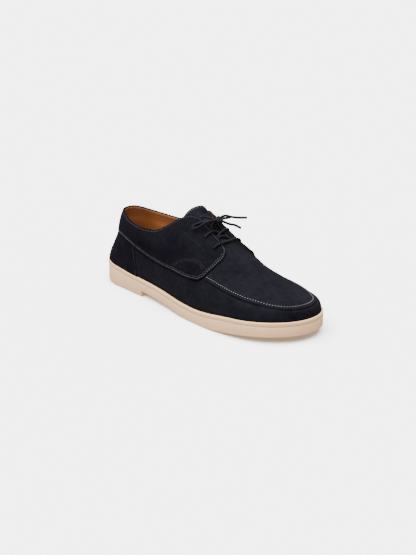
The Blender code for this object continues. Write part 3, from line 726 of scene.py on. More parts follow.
def nap_group() -> bpy.types.NodeTree:
    """Node group that turns a position into a tone between 0 and 1 and a height for bump.

    Returns:
        The group, shared by every finish.
    """
    tree = bpy.data.node_groups.new("surface_tone", "ShaderNodeTree")
    for name, kind, flow in (("Position", "NodeSocketVector", "INPUT"), ("Grain", "NodeSocketFloat", "INPUT"),
                             ("Tone", "NodeSocketFloat", "OUTPUT"), ("Height", "NodeSocketFloat", "OUTPUT")):
        tree.interface.new_socket(name=name, socket_type=kind, in_out=flow)
    enter, leave = tree.nodes.new("NodeGroupInput"), tree.nodes.new("NodeGroupOutput")

    def noise(scale: float | None, detail: float, roughness: float) -> bpy.types.Node:
        """Noise at the position, of a fixed scale or of the group's grain.

        Args:
            scale: Scale, or None for the group's grain.
            detail: Octaves.
            roughness: How strong the fine ones are.

        Returns:
            The node.
        """
        node = tree.nodes.new("ShaderNodeTexNoise")
        node.inputs["Detail"].default_value = detail
        node.inputs["Roughness"].default_value = roughness
        tree.links.new(enter.outputs["Position"], node.inputs["Vector"])
        if scale is None:
            tree.links.new(enter.outputs["Grain"], node.inputs["Scale"])
        else:
            node.inputs["Scale"].default_value = scale
        return node

    def mix(kind: str, a: bpy.types.NodeSocket, b: bpy.types.NodeSocket | float) -> bpy.types.Node:
        """Two values joined by one sum or product.

        Args:
            kind: Operation.
            a: First value.
            b: Second value.

        Returns:
            The node.
        """
        node = tree.nodes.new("ShaderNodeMath")
        node.operation = kind
        for socket, value in zip(node.inputs, (a, b)):
            if isinstance(value, (int, float)):
                socket.default_value = value
            else:
                tree.links.new(value, socket)
        return node

    broad = noise(38.0, 3.0, 0.55)
    cloud = noise(190.0, 4.0, 0.6)
    fine = noise(None, 2.0, 0.6)
    half = mix("MULTIPLY", broad.outputs["Fac"], 0.40)
    more = mix("MULTIPLY", cloud.outputs["Fac"], 0.42)
    last = mix("MULTIPLY", fine.outputs["Fac"], 0.18)
    tone = mix("ADD", mix("ADD", half.outputs[0], more.outputs[0]).outputs[0], last.outputs[0])
    tree.links.new(tone.outputs[0], leave.inputs["Tone"])
    height = mix("ADD", mix("MULTIPLY", fine.outputs["Fac"], 0.7).outputs[0],
                 mix("MULTIPLY", cloud.outputs["Fac"], 0.9).outputs[0])
    tree.links.new(height.outputs[0], leave.inputs["Height"])
    return tree


class Palette:
    """Makes the materials, each with its Principled shader and the shared tone group."""

    RUBBER_DEPTH, RUBBER_REACH = 0.12, (0.004, 0.0025, 0.0015)
    SHEEN_ROUGHNESS, SHEEN_TINT = 0.55, (0.75, 0.74, 0.95, 1.0)
    BUMP_STRENGTH = 0.8

    def __init__(self) -> None:
        """Create the shared group and every finish."""
        self.group = nap_group()
        self.suede = self.make(SUEDE)
        self.rubber = self.make(RUBBER)
        self.leather = self.make(LEATHER)
        self.lace = self.make(LACE)
        self.thread = self.make(THREAD)
        self.whip = self.make(WHIP)
        self.faint = self.make(FAINT)
        self.tan_thread = self.make(TAN_THREAD)
        self.raw_edge = self.make(RAW_EDGE)
        # Darker suede for the quarters and counter: painted shade.
        self.side = self.make(SHADED_SIDE_SUEDE)
        self.ghost = self.make(GHOST)
        self.tongue = self.make(TONGUE_SUEDE)
        # Lighter suede towards the tongue's crest: painted light from above.
        self.lighten(self.tongue, "high", CREST_PAINTED_LIGHT, 0.55)
        # Lighter tan on the heel's lining: painted light that lifts the shade inside the back.
        self.lighten(self.leather, "heel", HEEL_PAINTED_LIGHT_TAN, 0.8)
        self.lighten(self.leather, "band", BAND_TAN, 0.75)
        shader = self.rubber.node_tree.nodes["Principled BSDF"]
        shader.inputs["Subsurface Weight"].default_value = self.RUBBER_DEPTH
        shader.inputs["Subsurface Radius"].default_value = self.RUBBER_REACH

    @staticmethod
    def lighten(material: bpy.types.Material, mark: str, colour: tuple[float, float, float],
                share: float) -> None:
        """Mix a lighter colour into a material where a named mark of the mesh is set.

        Args:
            material: Material to change.
            mark: Name of the mesh's attribute.
            colour: Colour to mix in.
            share: How much of it where the mark is 1.
        """
        tree = material.node_tree
        base = tree.nodes["Principled BSDF"].inputs["Base Color"]
        mark_node = tree.nodes.new("ShaderNodeAttribute")
        mark_node.attribute_name = mark
        amount = tree.nodes.new("ShaderNodeMath")
        amount.operation = "MULTIPLY"
        amount.inputs[1].default_value = share
        tree.links.new(mark_node.outputs["Fac"], amount.inputs[0])
        mixer = tree.nodes.new("ShaderNodeMix")
        mixer.data_type = "RGBA"
        mixer_a = next(k for k in mixer.inputs if k.name == "A" and k.type == "RGBA")
        mixer_b = next(k for k in mixer.inputs if k.name == "B" and k.type == "RGBA")
        mixer_b.default_value = (*colour, 1.0)
        tree.links.new(amount.outputs[0], mixer.inputs["Factor"])
        tree.links.new(base.links[0].from_socket, mixer_a)
        tree.links.new(next(k for k in mixer.outputs if k.type == "RGBA"), base)

    def make(self, finish: Finish) -> bpy.types.Material:
        """Material of one finish.

        Args:
            finish: Colours and sizes.

        Returns:
            Node material on object coordinates.
        """
        made = bpy.data.materials.new(finish.name)
        made.use_nodes = True
        tree = made.node_tree
        shader = tree.nodes["Principled BSDF"]
        shader.inputs["Roughness"].default_value = finish.roughness
        shader.inputs["Specular IOR Level"].default_value = finish.shine
        shader.inputs["Sheen Weight"].default_value = finish.sheen
        shader.inputs["Sheen Roughness"].default_value = self.SHEEN_ROUGHNESS
        shader.inputs["Sheen Tint"].default_value = self.SHEEN_TINT
        place = tree.nodes.new("ShaderNodeTexCoord")
        group = tree.nodes.new("ShaderNodeGroup")
        group.node_tree = self.group
        group.inputs["Grain"].default_value = finish.grain
        tree.links.new(place.outputs["Object"], group.inputs["Position"])
        ramp = tree.nodes.new("ShaderNodeValToRGB")
        ramp.color_ramp.elements[0].position = 0.5 - 0.28 * finish.mottle
        ramp.color_ramp.elements[1].position = 0.5 + 0.34 * finish.mottle
        ramp.color_ramp.elements[0].color = (*finish.base, 1.0)
        ramp.color_ramp.elements[1].color = (*finish.light, 1.0)
        tree.links.new(group.outputs["Tone"], ramp.inputs["Fac"])
        tree.links.new(ramp.outputs["Color"], shader.inputs["Base Color"])
        bump = tree.nodes.new("ShaderNodeBump")
        bump.inputs["Distance"].default_value = finish.bump
        bump.inputs["Strength"].default_value = self.BUMP_STRENGTH
        tree.links.new(group.outputs["Height"], bump.inputs["Height"])
        tree.links.new(bump.outputs["Normal"], shader.inputs["Normal"])
        return made


# ---- sole and insole ------------------------------------------------------------
@dataclass(frozen=True)
class SoleSizes:
    """Sizes of the unit sole's edge, in mm."""

    groove_from_top: float = 4.5
    groove_half: float = 0.45
    groove_depth: float = 0.55
    rim_round: float = 0.8
    tread_round: float = 1.4
    heel_round: float = 3.0
    flat_start: float = 24.0
    stations: int = 150


class UnitSole:
    """Moulded sole with a rounded tread edge, a thin groove and a raised rim."""

    def __init__(self, outline: Outline, sizes: SoleSizes) -> None:
        """Keep the outline and sizes."""
        self.outline, self.sizes = outline, sizes

    def middle(self, at: float) -> np.ndarray:
        """Point of the middle line that closes a flat face.

        Args:
            at: Share of the outline.

        Returns:
            The point (u, y).
        """
        u, start, breast = self.outline.u_at(at), self.sizes.flat_start, self.outline.sizes.breast_u
        if u < breast:
            u = start + (breast - start) * u / breast
        elif u > LENGTH - breast:
            u = LENGTH - start - (breast - start) * (LENGTH - u) / breast
        return np.array([u, self.outline.swing(u)])

    def profile(self) -> list[tuple[float, float]]:
        """Edge profile from the side wall to the seat, as (inset, depth below the rim).

        Returns:
            The profile, from the groove up over the rim.
        """
        s, rim = self.sizes, self.outline.sizes
        g, w, d = s.groove_from_top, s.groove_half, s.groove_depth
        points = [(0.0, g + w + 0.35), (0.08, g + w + 0.1), (d * 0.75, g + w * 0.4), (d, g),
                  (d * 0.75, g - w * 0.4), (0.08, g - w - 0.1), (0.0, g - w - 0.35), (-0.12, 2.4),
                  (0.0, s.rim_round + 0.35)]
        for k in range(5):
            angle = k / 4 * math.pi / 2
            points.append((s.rim_round * (1 - math.cos(angle)), s.rim_round * (1 - math.sin(angle))))
        points += [(rim.rim_width - 0.4, 0.0), (rim.rim_width - 0.1, 0.1), (rim.rim_width, 0.4),
                   (rim.rim_width, rim.rim_depth)]
        return points

    def section(self, turn: float) -> list[np.ndarray]:
        """Closed section from the tread's middle to the seat's middle.

        Args:
            turn: Place round the shoe.

        Returns:
            Its points, mm.
        """
        out, at = self.outline, abs(turn)
        low = out.bottom(out.u_at(at))
        s = self.sizes
        soft = s.tread_round + s.heel_round * (1 - float(ease(at, 0.06, 0.16)))
        inner = self.middle(at)
        edge = out.rim(turn, soft)
        points = [np.append(inner + (edge - inner) * k / 8, low) for k in range(9)]
        for k in range(1, 6):
            angle = k / 5 * math.pi / 2
            points.append(np.append(out.rim(turn, soft * (1 - math.sin(angle))),
                                    low + soft * (1 - math.cos(angle))))
        for inset, depth in self.profile():
            plan = out.rim(turn, inset)
            points.append(out.on_seat(plan, out.sizes.rim_depth - depth))
        points += [out.on_seat(out.rim(turn, out.sizes.rim_width) * (1 - k / 4) + inner * k / 4)
                   for k in range(1, 5)]
        return points

    def build(self, palette: Palette) -> None:
        """Make the sole.

        Args:
            palette: Materials.
        """
        out, half = self.outline, self.sizes.stations
        marks = [out.at_u(out.sizes.breast_u), out.at_u(out.sizes.breast_u + out.sizes.breast_lean)]
        shares = sorted([k / half for k in range(half + 1)] + marks)
        shares = [s for i, s in enumerate(shares) if i == 0 or s - shares[i - 1] > 1e-4]
        ring = [-s for s in reversed(shares)] + shares[1:]
        item = sheet("unit_sole", np.array([self.section(turn) for turn in ring]))
        item.data.set_sharp_from_angle(angle=math.radians(50))
        dress(item, palette.rubber, "rubber", "sole")


@dataclass(frozen=True)
class SockSizes:
    """Sizes of the sock, in mm; edge gives its rounded edge as (inset, height)."""

    inset: float = 5.9
    lift: float = 0.3
    top: float = 2.6
    edge: tuple[tuple[float, float], ...] = ((0.0, 1.6), (0.3, 2.2), (0.9, 2.5), (2.0, 2.6))
    stations: int = 161


class Sock:
    """Leather insole that covers the seat inside the upper."""

    def __init__(self, sole: UnitSole, sizes: SockSizes) -> None:
        """Keep the sole, whose middle line it shares, and the sizes."""
        self.sole, self.sizes = sole, sizes

    def build(self, palette: Palette) -> None:
        """Make the insole.

        Args:
            palette: Materials.
        """
        out, s = self.sole.outline, self.sizes
        rows = []
        for turn in np.linspace(-1, 1, s.stations):
            inner, edge = self.sole.middle(abs(turn)), out.rim(turn, s.inset)
            shell = [out.on_seat(inner, s.lift), out.on_seat(edge, s.lift)]
            shell += [out.on_seat(out.rim(turn, s.inset + inset), s.lift + height)
                      for inset, height in s.edge]
            shell += [out.on_seat(edge + (inner - edge) * k / 8, s.top) for k in range(1, 9)]
            rows.append(shell)
        item = sheet("insole_sock", np.array(rows))
        dress(item, palette.leather, "lining", "insole")


# ---- upper ----------------------------------------------------------------------------
@dataclass(frozen=True)
class UpperSizes:
    """Thicknesses and places of the upper's pieces, in mm or in shares."""

    shell: float = 1.0
    lining_out: float = -1.05
    lining: float = 0.95
    lining_drop: float = 1.15
    quarter_gap: float = 0.3
    quarter: float = 1.45
    skin: float = 0.2
    roll: float = 0.8
    topline_drop: float = 1.0
    topline_out: float = 0.95
    topline_in: float = -0.6
    topline_fall: float = 1.2
    topline_fade: float = 4.5
    curl: float = 0.8
    curl_reach: float = 1.5
    puff: float = 0.25
    puff_at: float = 6.5
    hollow: float = 0.15
    hollow_at: float = 2.8
    back_at: float = 0.0004
    medial_back: float = 0.012
    counter_foot_at: float = 0.268
    counter_head_at: float = 0.223
    counter_foot_v: float = 0.035
    counter: float = 0.8
    counter_thin: float = 0.5
    counter_gap: float = 0.08
    counter_round: float = 0.7
    counter_under: float = 0.02
    counter_face: float = 0.75
    counter_row: float = 1.8
    counter_row_back: float = 0.0055
    counter_skin: float = 0.07
    seam_start: float = 0.602
    whip_start: float = 0.614
    seam_v: float = 0.42
    seam_width: float = 4.4
    seam_height: float = 1.15
    pucker: float = 0.06
    pucker_pitch: float = 2.9
    low_row: float = 2.6
    apron_lift: float = 0.75
    apron_fall: float = 3.2
    throat_end: tuple[float, float] = (0.64, 0.66)
    topline_sink: float = 0.3
    topline_low: float = 0.5
    edge_row: float = 1.9
    inner_row: float = 3.8
    top_row: float = 2.3
    arch_gap: float = 1.9
    lining_row: float = 2.9
    lining_face: float = -1.78
    channel: float = 0.24
    channel_half: float = 0.5

    @property
    def face(self) -> float:
        """Height of the quarter's outer face over the plain surface."""
        return self.quarter_gap + self.quarter - self.skin


@dataclass(frozen=True)
class Trough:
    """Soft trough or ridge given one by one: centre, half lengths in mm, turn in degrees, depth in mm."""

    at: float
    v: float
    long: float
    wide: float
    angle: float
    depth: float


TROUGHS = (
    Trough(-0.655, 0.62, 16.0, 4.0, 35.0, 0.35), Trough(-0.70, 0.70, 18.0, 5.0, 50.0, 0.30),
    Trough(-0.66, 0.30, 20.0, 4.0, 10.0, 0.30), Trough(-0.72, 0.22, 24.0, 5.0, 0.0, -0.30),
    Trough(-0.40, 0.20, 26.0, 5.0, 5.0, 0.30), Trough(-0.47, 0.30, 20.0, 4.0, -12.0, -0.25),
    Trough(-0.33, 0.62, 22.0, 5.0, -20.0, 0.30), Trough(-0.43, 0.66, 18.0, 5.0, 30.0, -0.30),
    Trough(-0.52, 0.62, 16.0, 4.0, 60.0, 0.25), Trough(-0.14, 0.70, 14.0, 5.0, 10.0, 0.30),
    Trough(0.655, 0.62, 16.0, 4.0, -35.0, 0.35), Trough(0.70, 0.70, 18.0, 5.0, -50.0, 0.30),
    Trough(0.66, 0.30, 20.0, 4.0, -10.0, 0.30), Trough(0.40, 0.20, 26.0, 5.0, -5.0, 0.30),
    Trough(0.33, 0.62, 22.0, 5.0, 20.0, 0.30), Trough(0.43, 0.66, 18.0, 5.0, -30.0, -0.30),
)


def soft_shape(last: LastedSurface, turn: np.ndarray, v: np.ndarray) -> np.ndarray:
    """Height of the listed troughs over the plain surface, in mm.

    Args:
        last: Surface they lie on.
        turn: Places round the shoe.
        v: Places up the wall.

    Returns:
        Heights.
    """
    total = np.zeros(turn.shape)
    for t in TROUGHS:
        by_turn, by_v = (float(np.linalg.norm(rate)) for rate in last.rates(t.at, t.v))
        along, up = (turn - t.at) * by_turn, (v - t.v) * by_v
        a = math.radians(t.angle)
        x, y = along * math.cos(a) + up * math.sin(a), -along * math.sin(a) + up * math.cos(a)
        total -= t.depth * np.exp(-(x / t.long) ** 2 - (y / t.wide) ** 2)
    return total


def foot_swell(last: LastedSurface, turn: np.ndarray, v: np.ndarray) -> np.ndarray:
    """How far the wall spreads over the sole's rim just above it, in mm.

    Args:
        last: Plain surface.
        turn: Places round the shoe.
        v: Places up the wall.

    Returns:
        Distances outwards.
    """
    point = last.at(turn, v)
    above = point[..., 2] - drawn(SOLE_TOP)(point[..., 0])
    amount, fade = (drawn(FOOT_SPREAD, k)(np.abs(turn)) for k in (1, 2))
    return amount * ease(above, -0.6, 0.5) * np.exp(-(np.maximum(above - 0.5, 0) / fade) ** 2)


class Shell:
    """Vamp and side wall in suede, and the leather that lines them."""

    def __init__(self, last: LastedSurface, sizes: UpperSizes) -> None:
        """Keep the surface and sizes."""
        self.last, self.sizes = last, sizes
        self.seam = drawn(SEAM)

    def follow(self, turn: np.ndarray, row: np.ndarray) -> np.ndarray:
        """Places up the wall of rows that bend with the apron's seam.

        Args:
            turn: Places round the shoe.
            row: Even rows from 0 to 1.

        Returns:
            The bent rows.
        """
        middle = self.sizes.seam_v
        shift = self.seam(np.abs(turn)) - middle
        return row + shift * np.minimum(row / middle, (1 - row) / (1 - middle))

    def relief(self, turn: np.ndarray, v: np.ndarray) -> np.ndarray:
        """Height of the apron's raised edge and the crease below its roll, mm.

        Args:
            turn: Places round the shoe.
            v: Places up the wall.

        Returns:
            Heights.
        """
        s, at = self.sizes, np.abs(turn)
        lift = ease(at, s.seam_start, s.seam_start + 0.015)
        by_v = self.last.rise(turn, v)
        away = (v - self.seam(at)) * by_v
        edge = s.apron_lift * np.exp(-(np.maximum(away - 0.4, 0) / s.apron_fall) ** 2) * ease(away, -0.5, 0.6)
        return lift * (edge + dip(away - 0.05, 0.5, 0.5) + dip(away + s.seam_width + 0.1, 0.55, 0.8))

    def ridge(self, turn: np.ndarray, v: np.ndarray) -> np.ndarray:
        """Mark, 0 to 1, of the apron's middle, where both sides meet and are smoothed together."""
        return ease(np.abs(turn), 0.70, 0.76) * ease(v, 0.62, 0.72)

    def finish(self, item: bpy.types.Object, wall: float, holes: "Eyelets") -> None:
        """Turn a sheet of the upper outwards, thicken it and punch it.

        Args:
            item: The sheet.
            wall: Its thickness, mm.
            holes: Eyelets to punch through it.
        """
        face_along(item, self.last.at(-0.8, 0.3), self.last.outward(-0.8, 0.3))
        thicken(item, wall)
        holes.punch(item)

    def build_suede(self, palette: Palette, holes: "Eyelets") -> None:
        """Make the vamp and side wall, raised at the apron and sunk under the topline.

        Args:
            palette: Materials.
            holes: Eyelets to punch through it.
        """
        s, seam = self.sizes, self.sizes.seam_v
        rows = np.concatenate([np.linspace(0, seam - 0.08, 12, endpoint=False),
                               np.linspace(seam - 0.08, seam + 0.07, 44, endpoint=False),
                               np.linspace(seam + 0.07, 1.0, 28)])
        turn, row = np.meshgrid(np.linspace(-1, 1, 561), rows, indexing="ij")
        at, v = np.abs(turn), self.follow(turn, row)
        open_part = 1 - ease(at, *s.throat_end)
        out = self.relief(turn, v) + soft_shape(self.last, turn, v) + foot_swell(self.last, turn, v)
        below = (1 - v) * self.last.rise(turn, v)
        out = out - s.topline_sink * np.exp(-(below / s.topline_fade) ** 2) * open_part
        out = out + drawn(RIDGE_LIFT)(at) * ease(v, 0.50, 0.92)
        v = np.minimum(v, 1 - s.topline_low * open_part / self.last.rise(turn, v))
        marks = {"ridge": self.ridge(turn, v)}
        shell = sheet("vamp_shell", self.last.at(turn, v, out), marks, calm=("ridge", 40))
        self.finish(shell, s.shell, holes)
        dress(shell, palette.suede, "suede", "upper")

    def build_lining(self, palette: Palette, holes: "Eyelets") -> None:
        """Make the lining, with marks where it is paler at the heel, painted light that lifts the shade
        inside the back, and along the topline.

        Args:
            palette: Materials.
            holes: Eyelets to punch through it.
        """
        s = self.sizes
        rows = np.concatenate([np.linspace(0, 0.86, 26, endpoint=False), np.linspace(0.86, 1.0, 24)])
        turn, row = np.meshgrid(np.linspace(-1, 1, 401), rows, indexing="ij")
        at, by_v = np.abs(turn), self.last.rise(turn, row)
        open_part = 1 - ease(at, 0.66, 0.69)
        v = row * (1 - s.lining_drop * open_part / by_v)
        below = (1 - row) * by_v
        tuck = np.exp(-(below / s.topline_fade) ** 2) * open_part
        # The heel mark paints the lining lighter inside the back: painted light that lifts the shade there.
        marks = {"band": (1 - ease(below, 0.9, 1.6)) * (1 - ease(at, 0.46, 0.50)),
                 "heel": 1 - ease(at, 0.14, 0.30), "ridge": self.ridge(turn, v)}
        out = s.lining_out + (s.topline_in - 0.05 - s.lining_out) * tuck
        out = out + dip(below - s.lining_row, 0.12, 0.5) * open_part
        lining = sheet("lining", self.last.at(turn, v, out), marks, calm=("ridge", 25))
        self.finish(lining, s.lining, holes)
        dress(lining, palette.leather, "lining")


class ApronSeam:
    """Rolled edge of the side wall, gathered under the apron's stitches."""

    def __init__(self, last: LastedSurface, sizes: UpperSizes) -> None:
        """Keep the surface and sizes."""
        self.last, self.sizes = last, sizes
        self.seam = drawn(SEAM)

    def places(self, start: float, count: int) -> tuple[np.ndarray, np.ndarray]:
        """The seam's line as places, from the lateral start round the toe.

        Args:
            start: Share of the outline where it starts.
            count: Places on each side.

        Returns:
            The turns and the vs.
        """
        at = np.linspace(start, 1.0, count)
        turns = np.concatenate([-at, at[::-1][1:]])
        return turns, self.seam(np.abs(turns))

    def build(self, palette: Palette) -> None:
        """Make the roll, slightly puckered between its stitches.

        Args:
            palette: Materials.
        """
        s = self.sizes
        turns, vs = self.places(s.seam_start, 420)
        across = np.linspace(-1, 1, 23)
        turn, x = np.meshgrid(turns, across, indexing="ij")
        by_v = self.last.rise(turns, vs)
        arcs = arc_lengths(self.last.at(turns, vs))
        pucker = s.pucker * np.cos(2 * math.pi * arcs / s.pucker_pitch)[:, None] * ease(x, -0.6, 0.9)
        distance = 0.15 - s.seam_width * (1 - x) / 2
        v = vs[:, None] + distance / by_v[:, None]
        ends = np.minimum(ease(arcs, 0, 3.0), ease(arcs[-1] - arcs, 0, 3.0))[:, None]
        dome = np.sqrt(np.clip(1 - np.abs(x) ** 2.4, 0, 1))
        pricks = dip(distance + 2.5, 0.12, 0.35)
        high = s.seam_height * (1 - 0.35 * ease(np.abs(turn), 0.86, 0.98))
        out = -0.35 + (0.35 + high * ends) * dome + (pricks + pucker) * dome
        item = sheet("apron_roll", self.last.at(turn, v, out))
        face_along(item, self.last.at(-0.8, 0.4, 2.0), self.last.outward(-0.8, 0.4))
        thicken(item, 0.3)
        dress(item, palette.suede, "suede", "moc_seam")


@dataclass(frozen=True)
class EyeletSizes:
    """Places of the eyelets as (at, v), and their size in mm."""

    places: tuple[tuple[float, float], ...] = ((0.634, 0.822), (0.588, 0.858), (0.538, 0.868))
    medial_raise: float = 0.03
    radius: float = 1.5
    depth: float = 5.0


class Eyelets:
    """Punched holes through the facings, without metal."""

    def __init__(self, last: LastedSurface, sizes: EyeletSizes) -> None:
        """Keep the surface and sizes."""
        self.last, self.sizes = last, sizes

    def place(self, side: Side, which: int) -> tuple[float, float]:
        """Place (turn, v) of one eyelet."""
        at, v = self.sizes.places[which]
        return side.value * at, v + (self.sizes.medial_raise if side is Side.MEDIAL else 0.0)

    def cutter(self) -> bpy.types.Object:
        """One object holding a pin for each hole.

        Returns:
            The object, for one cut.
        """
        bm, radius = bmesh.new(), self.sizes.radius * MM
        for side in Side:
            for which in range(len(self.sizes.places)):
                spot = self.place(side, which)
                middle, out = to_metres(self.last.at(*spot)), Vector(self.last.outward(*spot))
                turned = Matrix.Translation(middle) @ out.to_track_quat("Z", "Y").to_matrix().to_4x4()
                bmesh.ops.create_cone(bm, cap_ends=True, segments=24, radius1=radius, radius2=radius,
                                      depth=2 * self.sizes.depth * MM, matrix=turned)
        mesh = bpy.data.meshes.new("hole_pins")
        bm.to_mesh(mesh)
        bm.free()
        return link("hole_pins", mesh)

    def punch(self, item: bpy.types.Object) -> None:
        """Cut the holes through a piece and apply its modifiers.

        Args:
            item: Piece to punch.
        """
        pins = self.cutter()
        cut = item.modifiers.new("holes", "BOOLEAN")
        cut.operation = "DIFFERENCE"
        cut.solver = "EXACT"
        cut.object = pins
        settle(item)
        bpy.data.objects.remove(pins)


class Quarter:
    """Side panel from the back seam to the facing, with a rolled topline.

    Its columns and rows crowd towards its edges, at EDGE_STEPS mm from them.
    """

    EDGE_STEPS = (0.0, 0.12, 0.3, 0.55, 0.8, 1.1, 1.4, 1.65, 1.9, 2.15, 2.4, 2.8, 3.2, 3.5, 3.8, 4.1,
                  4.5, 5.2)
    LONG, HIGH = 225.0, 50.0

    def __init__(self, last: LastedSurface, sizes: UpperSizes, side: Side) -> None:
        """Keep the surface, sizes and side."""
        self.last, self.sizes, self.side = last, sizes, side
        self.front, self.low = drawn(QUARTER_FRONT), drawn(QUARTER_EDGE)

    def place(self, c: np.ndarray, r: np.ndarray) -> tuple[np.ndarray, np.ndarray]:
        """Places (turn, v) of the panel's own shares along and up it.

        Args:
            c: Shares from the back seam to the front.
            r: Shares from the lower edge up.

        Returns:
            The turns and the vs.
        """
        fronts = self.front(r)
        if self.side is Side.MEDIAL:
            fronts = fronts - self.sizes.medial_back
        start = self.sizes.back_at
        at = start + (fronts - start) * c
        low = self.low(at)
        return self.side.value * at, low + (1 - low) * r

    def border(self) -> np.ndarray:
        """Lower and front edge as places (turn, v), from the heel to the topline.

        Returns:
            The places, one row each.
        """
        low = np.stack(self.place(np.linspace(0, 1, 300), np.zeros(300)), axis=1)
        front = np.stack(self.place(np.ones(160), np.linspace(0, 1, 160)), axis=1)
        return np.vstack([low, front[1:]])

    def build(self, palette: Palette, holes: Eyelets) -> None:
        """Make the panel, sunk along its rows of stitches.

        Args:
            palette: Materials.
            holes: Eyelets to punch through it.
        """
        s = self.sizes
        c = crowded(190, self.EDGE_STEPS, self.LONG)
        c = np.concatenate([[0.0], c[len(self.EDGE_STEPS):]])
        c, r = np.meshgrid(c, crowded(34, self.EDGE_STEPS, self.HIGH), indexing="ij")
        turn, v = self.place(c, r)
        v = np.minimum(v, 1 - s.topline_drop / self.last.rise(turn, v) * np.clip(v, 0, 1) ** 6)
        out = self.height(turn, v)
        topline = self.topline(turn[:, -1], v[:, -1], out[:, -1])
        points = np.concatenate([self.last.at(turn, v, out), topline], axis=1)
        item = sheet(f"quarter_{self.side.name.lower()}_suede", points)
        probe = (self.side.value * 0.35, 0.7)
        face_along(item, self.last.at(*probe, s.quarter), self.last.outward(*probe))
        thicken(item, s.skin)
        holes.punch(item)
        # The side suede is darker: painted shade on the quarter.
        dress(item, palette.side, "suede", f"quarter_{self.side.name.lower()}")

    def height(self, turn: np.ndarray, v: np.ndarray, sunk: bool = True) -> np.ndarray:
        """Height of the outer face over the plain surface, in mm.

        Args:
            turn: Places round the shoe.
            v: Places up the wall.
            sunk: Whether the rows of stitches sink into it.

        Returns:
            Heights.
        """
        s = self.sizes
        border = self.border()
        away = distance_to(self.last.at(turn, v), self.last.at(border[:, 0], border[:, 1]))
        roll = rounded(away, s.roll)
        puff = (s.puff * np.exp(-(away - s.puff_at) ** 2 / 9.0)
                - s.hollow * np.exp(-(away - s.hollow_at) ** 2 / 6.0))
        out = s.quarter_gap + (s.quarter - s.skin) * roll + (puff + soft_shape(self.last, turn, v)) * roll
        below = (1 - v) * self.last.rise(turn, v)
        if sunk:
            second = 1 - ease(v, 0.80, 0.86) * ease(np.abs(turn), 0.60, 0.62)
            out = out + dip(away - s.edge_row, s.channel, s.channel_half)
            out = out + dip(away - s.inner_row, s.channel, s.channel_half) * second
            out = out + dip(below - s.top_row, s.channel * 0.7, s.channel_half)
        out = out - (s.face - s.topline_out) * np.exp(-(below / s.topline_fade) ** 2)
        if self.side is Side.MEDIAL:
            corner = ease(np.abs(turn), 0.54, 0.60) * ease(v, 0.6, 0.75) * (1 - ease(v, 0.92, 0.985))
            out = out + s.curl * np.exp(-(away / s.curl_reach) ** 2) * corner
        return out

    def topline(self, turn: np.ndarray, v: np.ndarray, out: np.ndarray) -> np.ndarray:
        """Rows that roll the panel over the topline, from outside to inside.

        Args:
            turn: Places round the shoe of the panel's last row.
            v: Their places up the wall.
            out: Their heights, mm.

        Returns:
            Points as an array (columns, rows, 3).
        """
        s = self.sizes
        up = unit(self.last.rates(turn, v)[1])
        outward = self.last.outward(turn, v)
        edge = self.last.at(turn, v)
        rows = []
        steps = np.linalg.norm(np.diff(edge, axis=0), axis=1)
        left = np.concatenate([np.cumsum(steps[::-1])[::-1], [0.0]])
        full = ease(left, 0.0, 6.0)
        inner = (out - 0.25) * (1 - full) + s.topline_in * full
        for k in range(1, 10):
            angle = k / 9 * math.pi
            across = (out + inner) / 2 + (out - inner) / 2 * math.cos(angle)
            rise = s.topline_drop * math.sin(angle) * full
            rows.append(edge + outward * across[:, None] + up * rise[:, None])
        for fall in (0.4, 0.8, s.topline_fall):
            rows.append(edge + outward * inner[:, None] - up * fall * full[:, None])
        return np.stack(rows, axis=1)


class Counter:
    """Heel panel between the sole and the quarters."""

    EDGE_STEPS = (0.0, 0.15, 0.35, 0.6, 0.9, 1.2, 1.5, 1.8, 2.1, 2.5)
    END_STEPS = (0.0, 0.4, 0.9, 1.4)
    LONG, HIGH = 180.0, 30.0

    def __init__(self, last: LastedSurface, sizes: UpperSizes) -> None:
        """Keep the surface and sizes."""
        self.last, self.sizes = last, sizes

    def front_edge(self, side: Side, count: int, back: float = 0.0) -> np.ndarray:
        """Front edge as places (turn, v) from the foot up, moved back by a share.

        Args:
            side: Side of the shoe.
            count: Places on it.
            back: How far back it is moved.

        Returns:
            The places, one row each.
        """
        s = self.sizes
        r = np.linspace(0.02, 0.93, count)
        at = s.counter_foot_at + (s.counter_head_at - s.counter_foot_at) * r - back
        high = drawn(QUARTER_EDGE)(at) + s.counter_under
        return np.stack([side.value * at, s.counter_foot_v + (high - s.counter_foot_v) * r], axis=1)

    def build(self, palette: Palette) -> None:
        """Make the panel.

        Args:
            palette: Materials.
        """
        s = self.sizes
        c = crowded(130, self.EDGE_STEPS, self.LONG)
        c, r = np.meshgrid(c, crowded(24, self.END_STEPS, self.HIGH), indexing="ij")
        reach = s.counter_foot_at + (s.counter_head_at - s.counter_foot_at) * r
        turn = (2 * c - 1) * reach
        high = drawn(QUARTER_EDGE)(np.abs(turn)) + s.counter_under
        v = s.counter_foot_v + (high - s.counter_foot_v) * r
        base = self.last.at(turn, v)
        away = np.minimum(distance_to(base, base[0]), distance_to(base, base[-1]))
        sunk = dip(away - s.counter_row, 0.18, 0.45)
        thick = s.counter - s.counter_thin * r ** 6
        out = s.counter_gap + thick * rounded(away, s.counter_round) + sunk + soft_shape(self.last, turn, v)
        points = self.last.at(turn, v, out + foot_swell(self.last, turn, v))
        item = sheet("counter_suede", points)
        face_along(item, self.last.at(-0.1, 0.2, 1.0), self.last.outward(-0.1, 0.2))
        thicken(item, s.counter_skin)
        # The side suede is darker: painted shade on the counter.
        dress(item, palette.side, "suede", "heel_counter")


@dataclass(frozen=True)
class TongueSizes:
    """Sizes of the tongue, in mm; fans gives its rows above the facings, from 0 up to 1 at the crest."""

    columns: int = 61
    edge_row: float = 2.0
    roll: float = 1.5
    drop: float = 0.6
    thick: float = 1.8
    wider: float = 1.8
    lift: float = 1.2
    depth: float = 2.6
    fans: tuple[float, ...] = (0.05, 0.2, 0.35, 0.5, 0.62, 0.72, 0.8, 0.86, 0.91, 0.95, 0.98, 1.0)


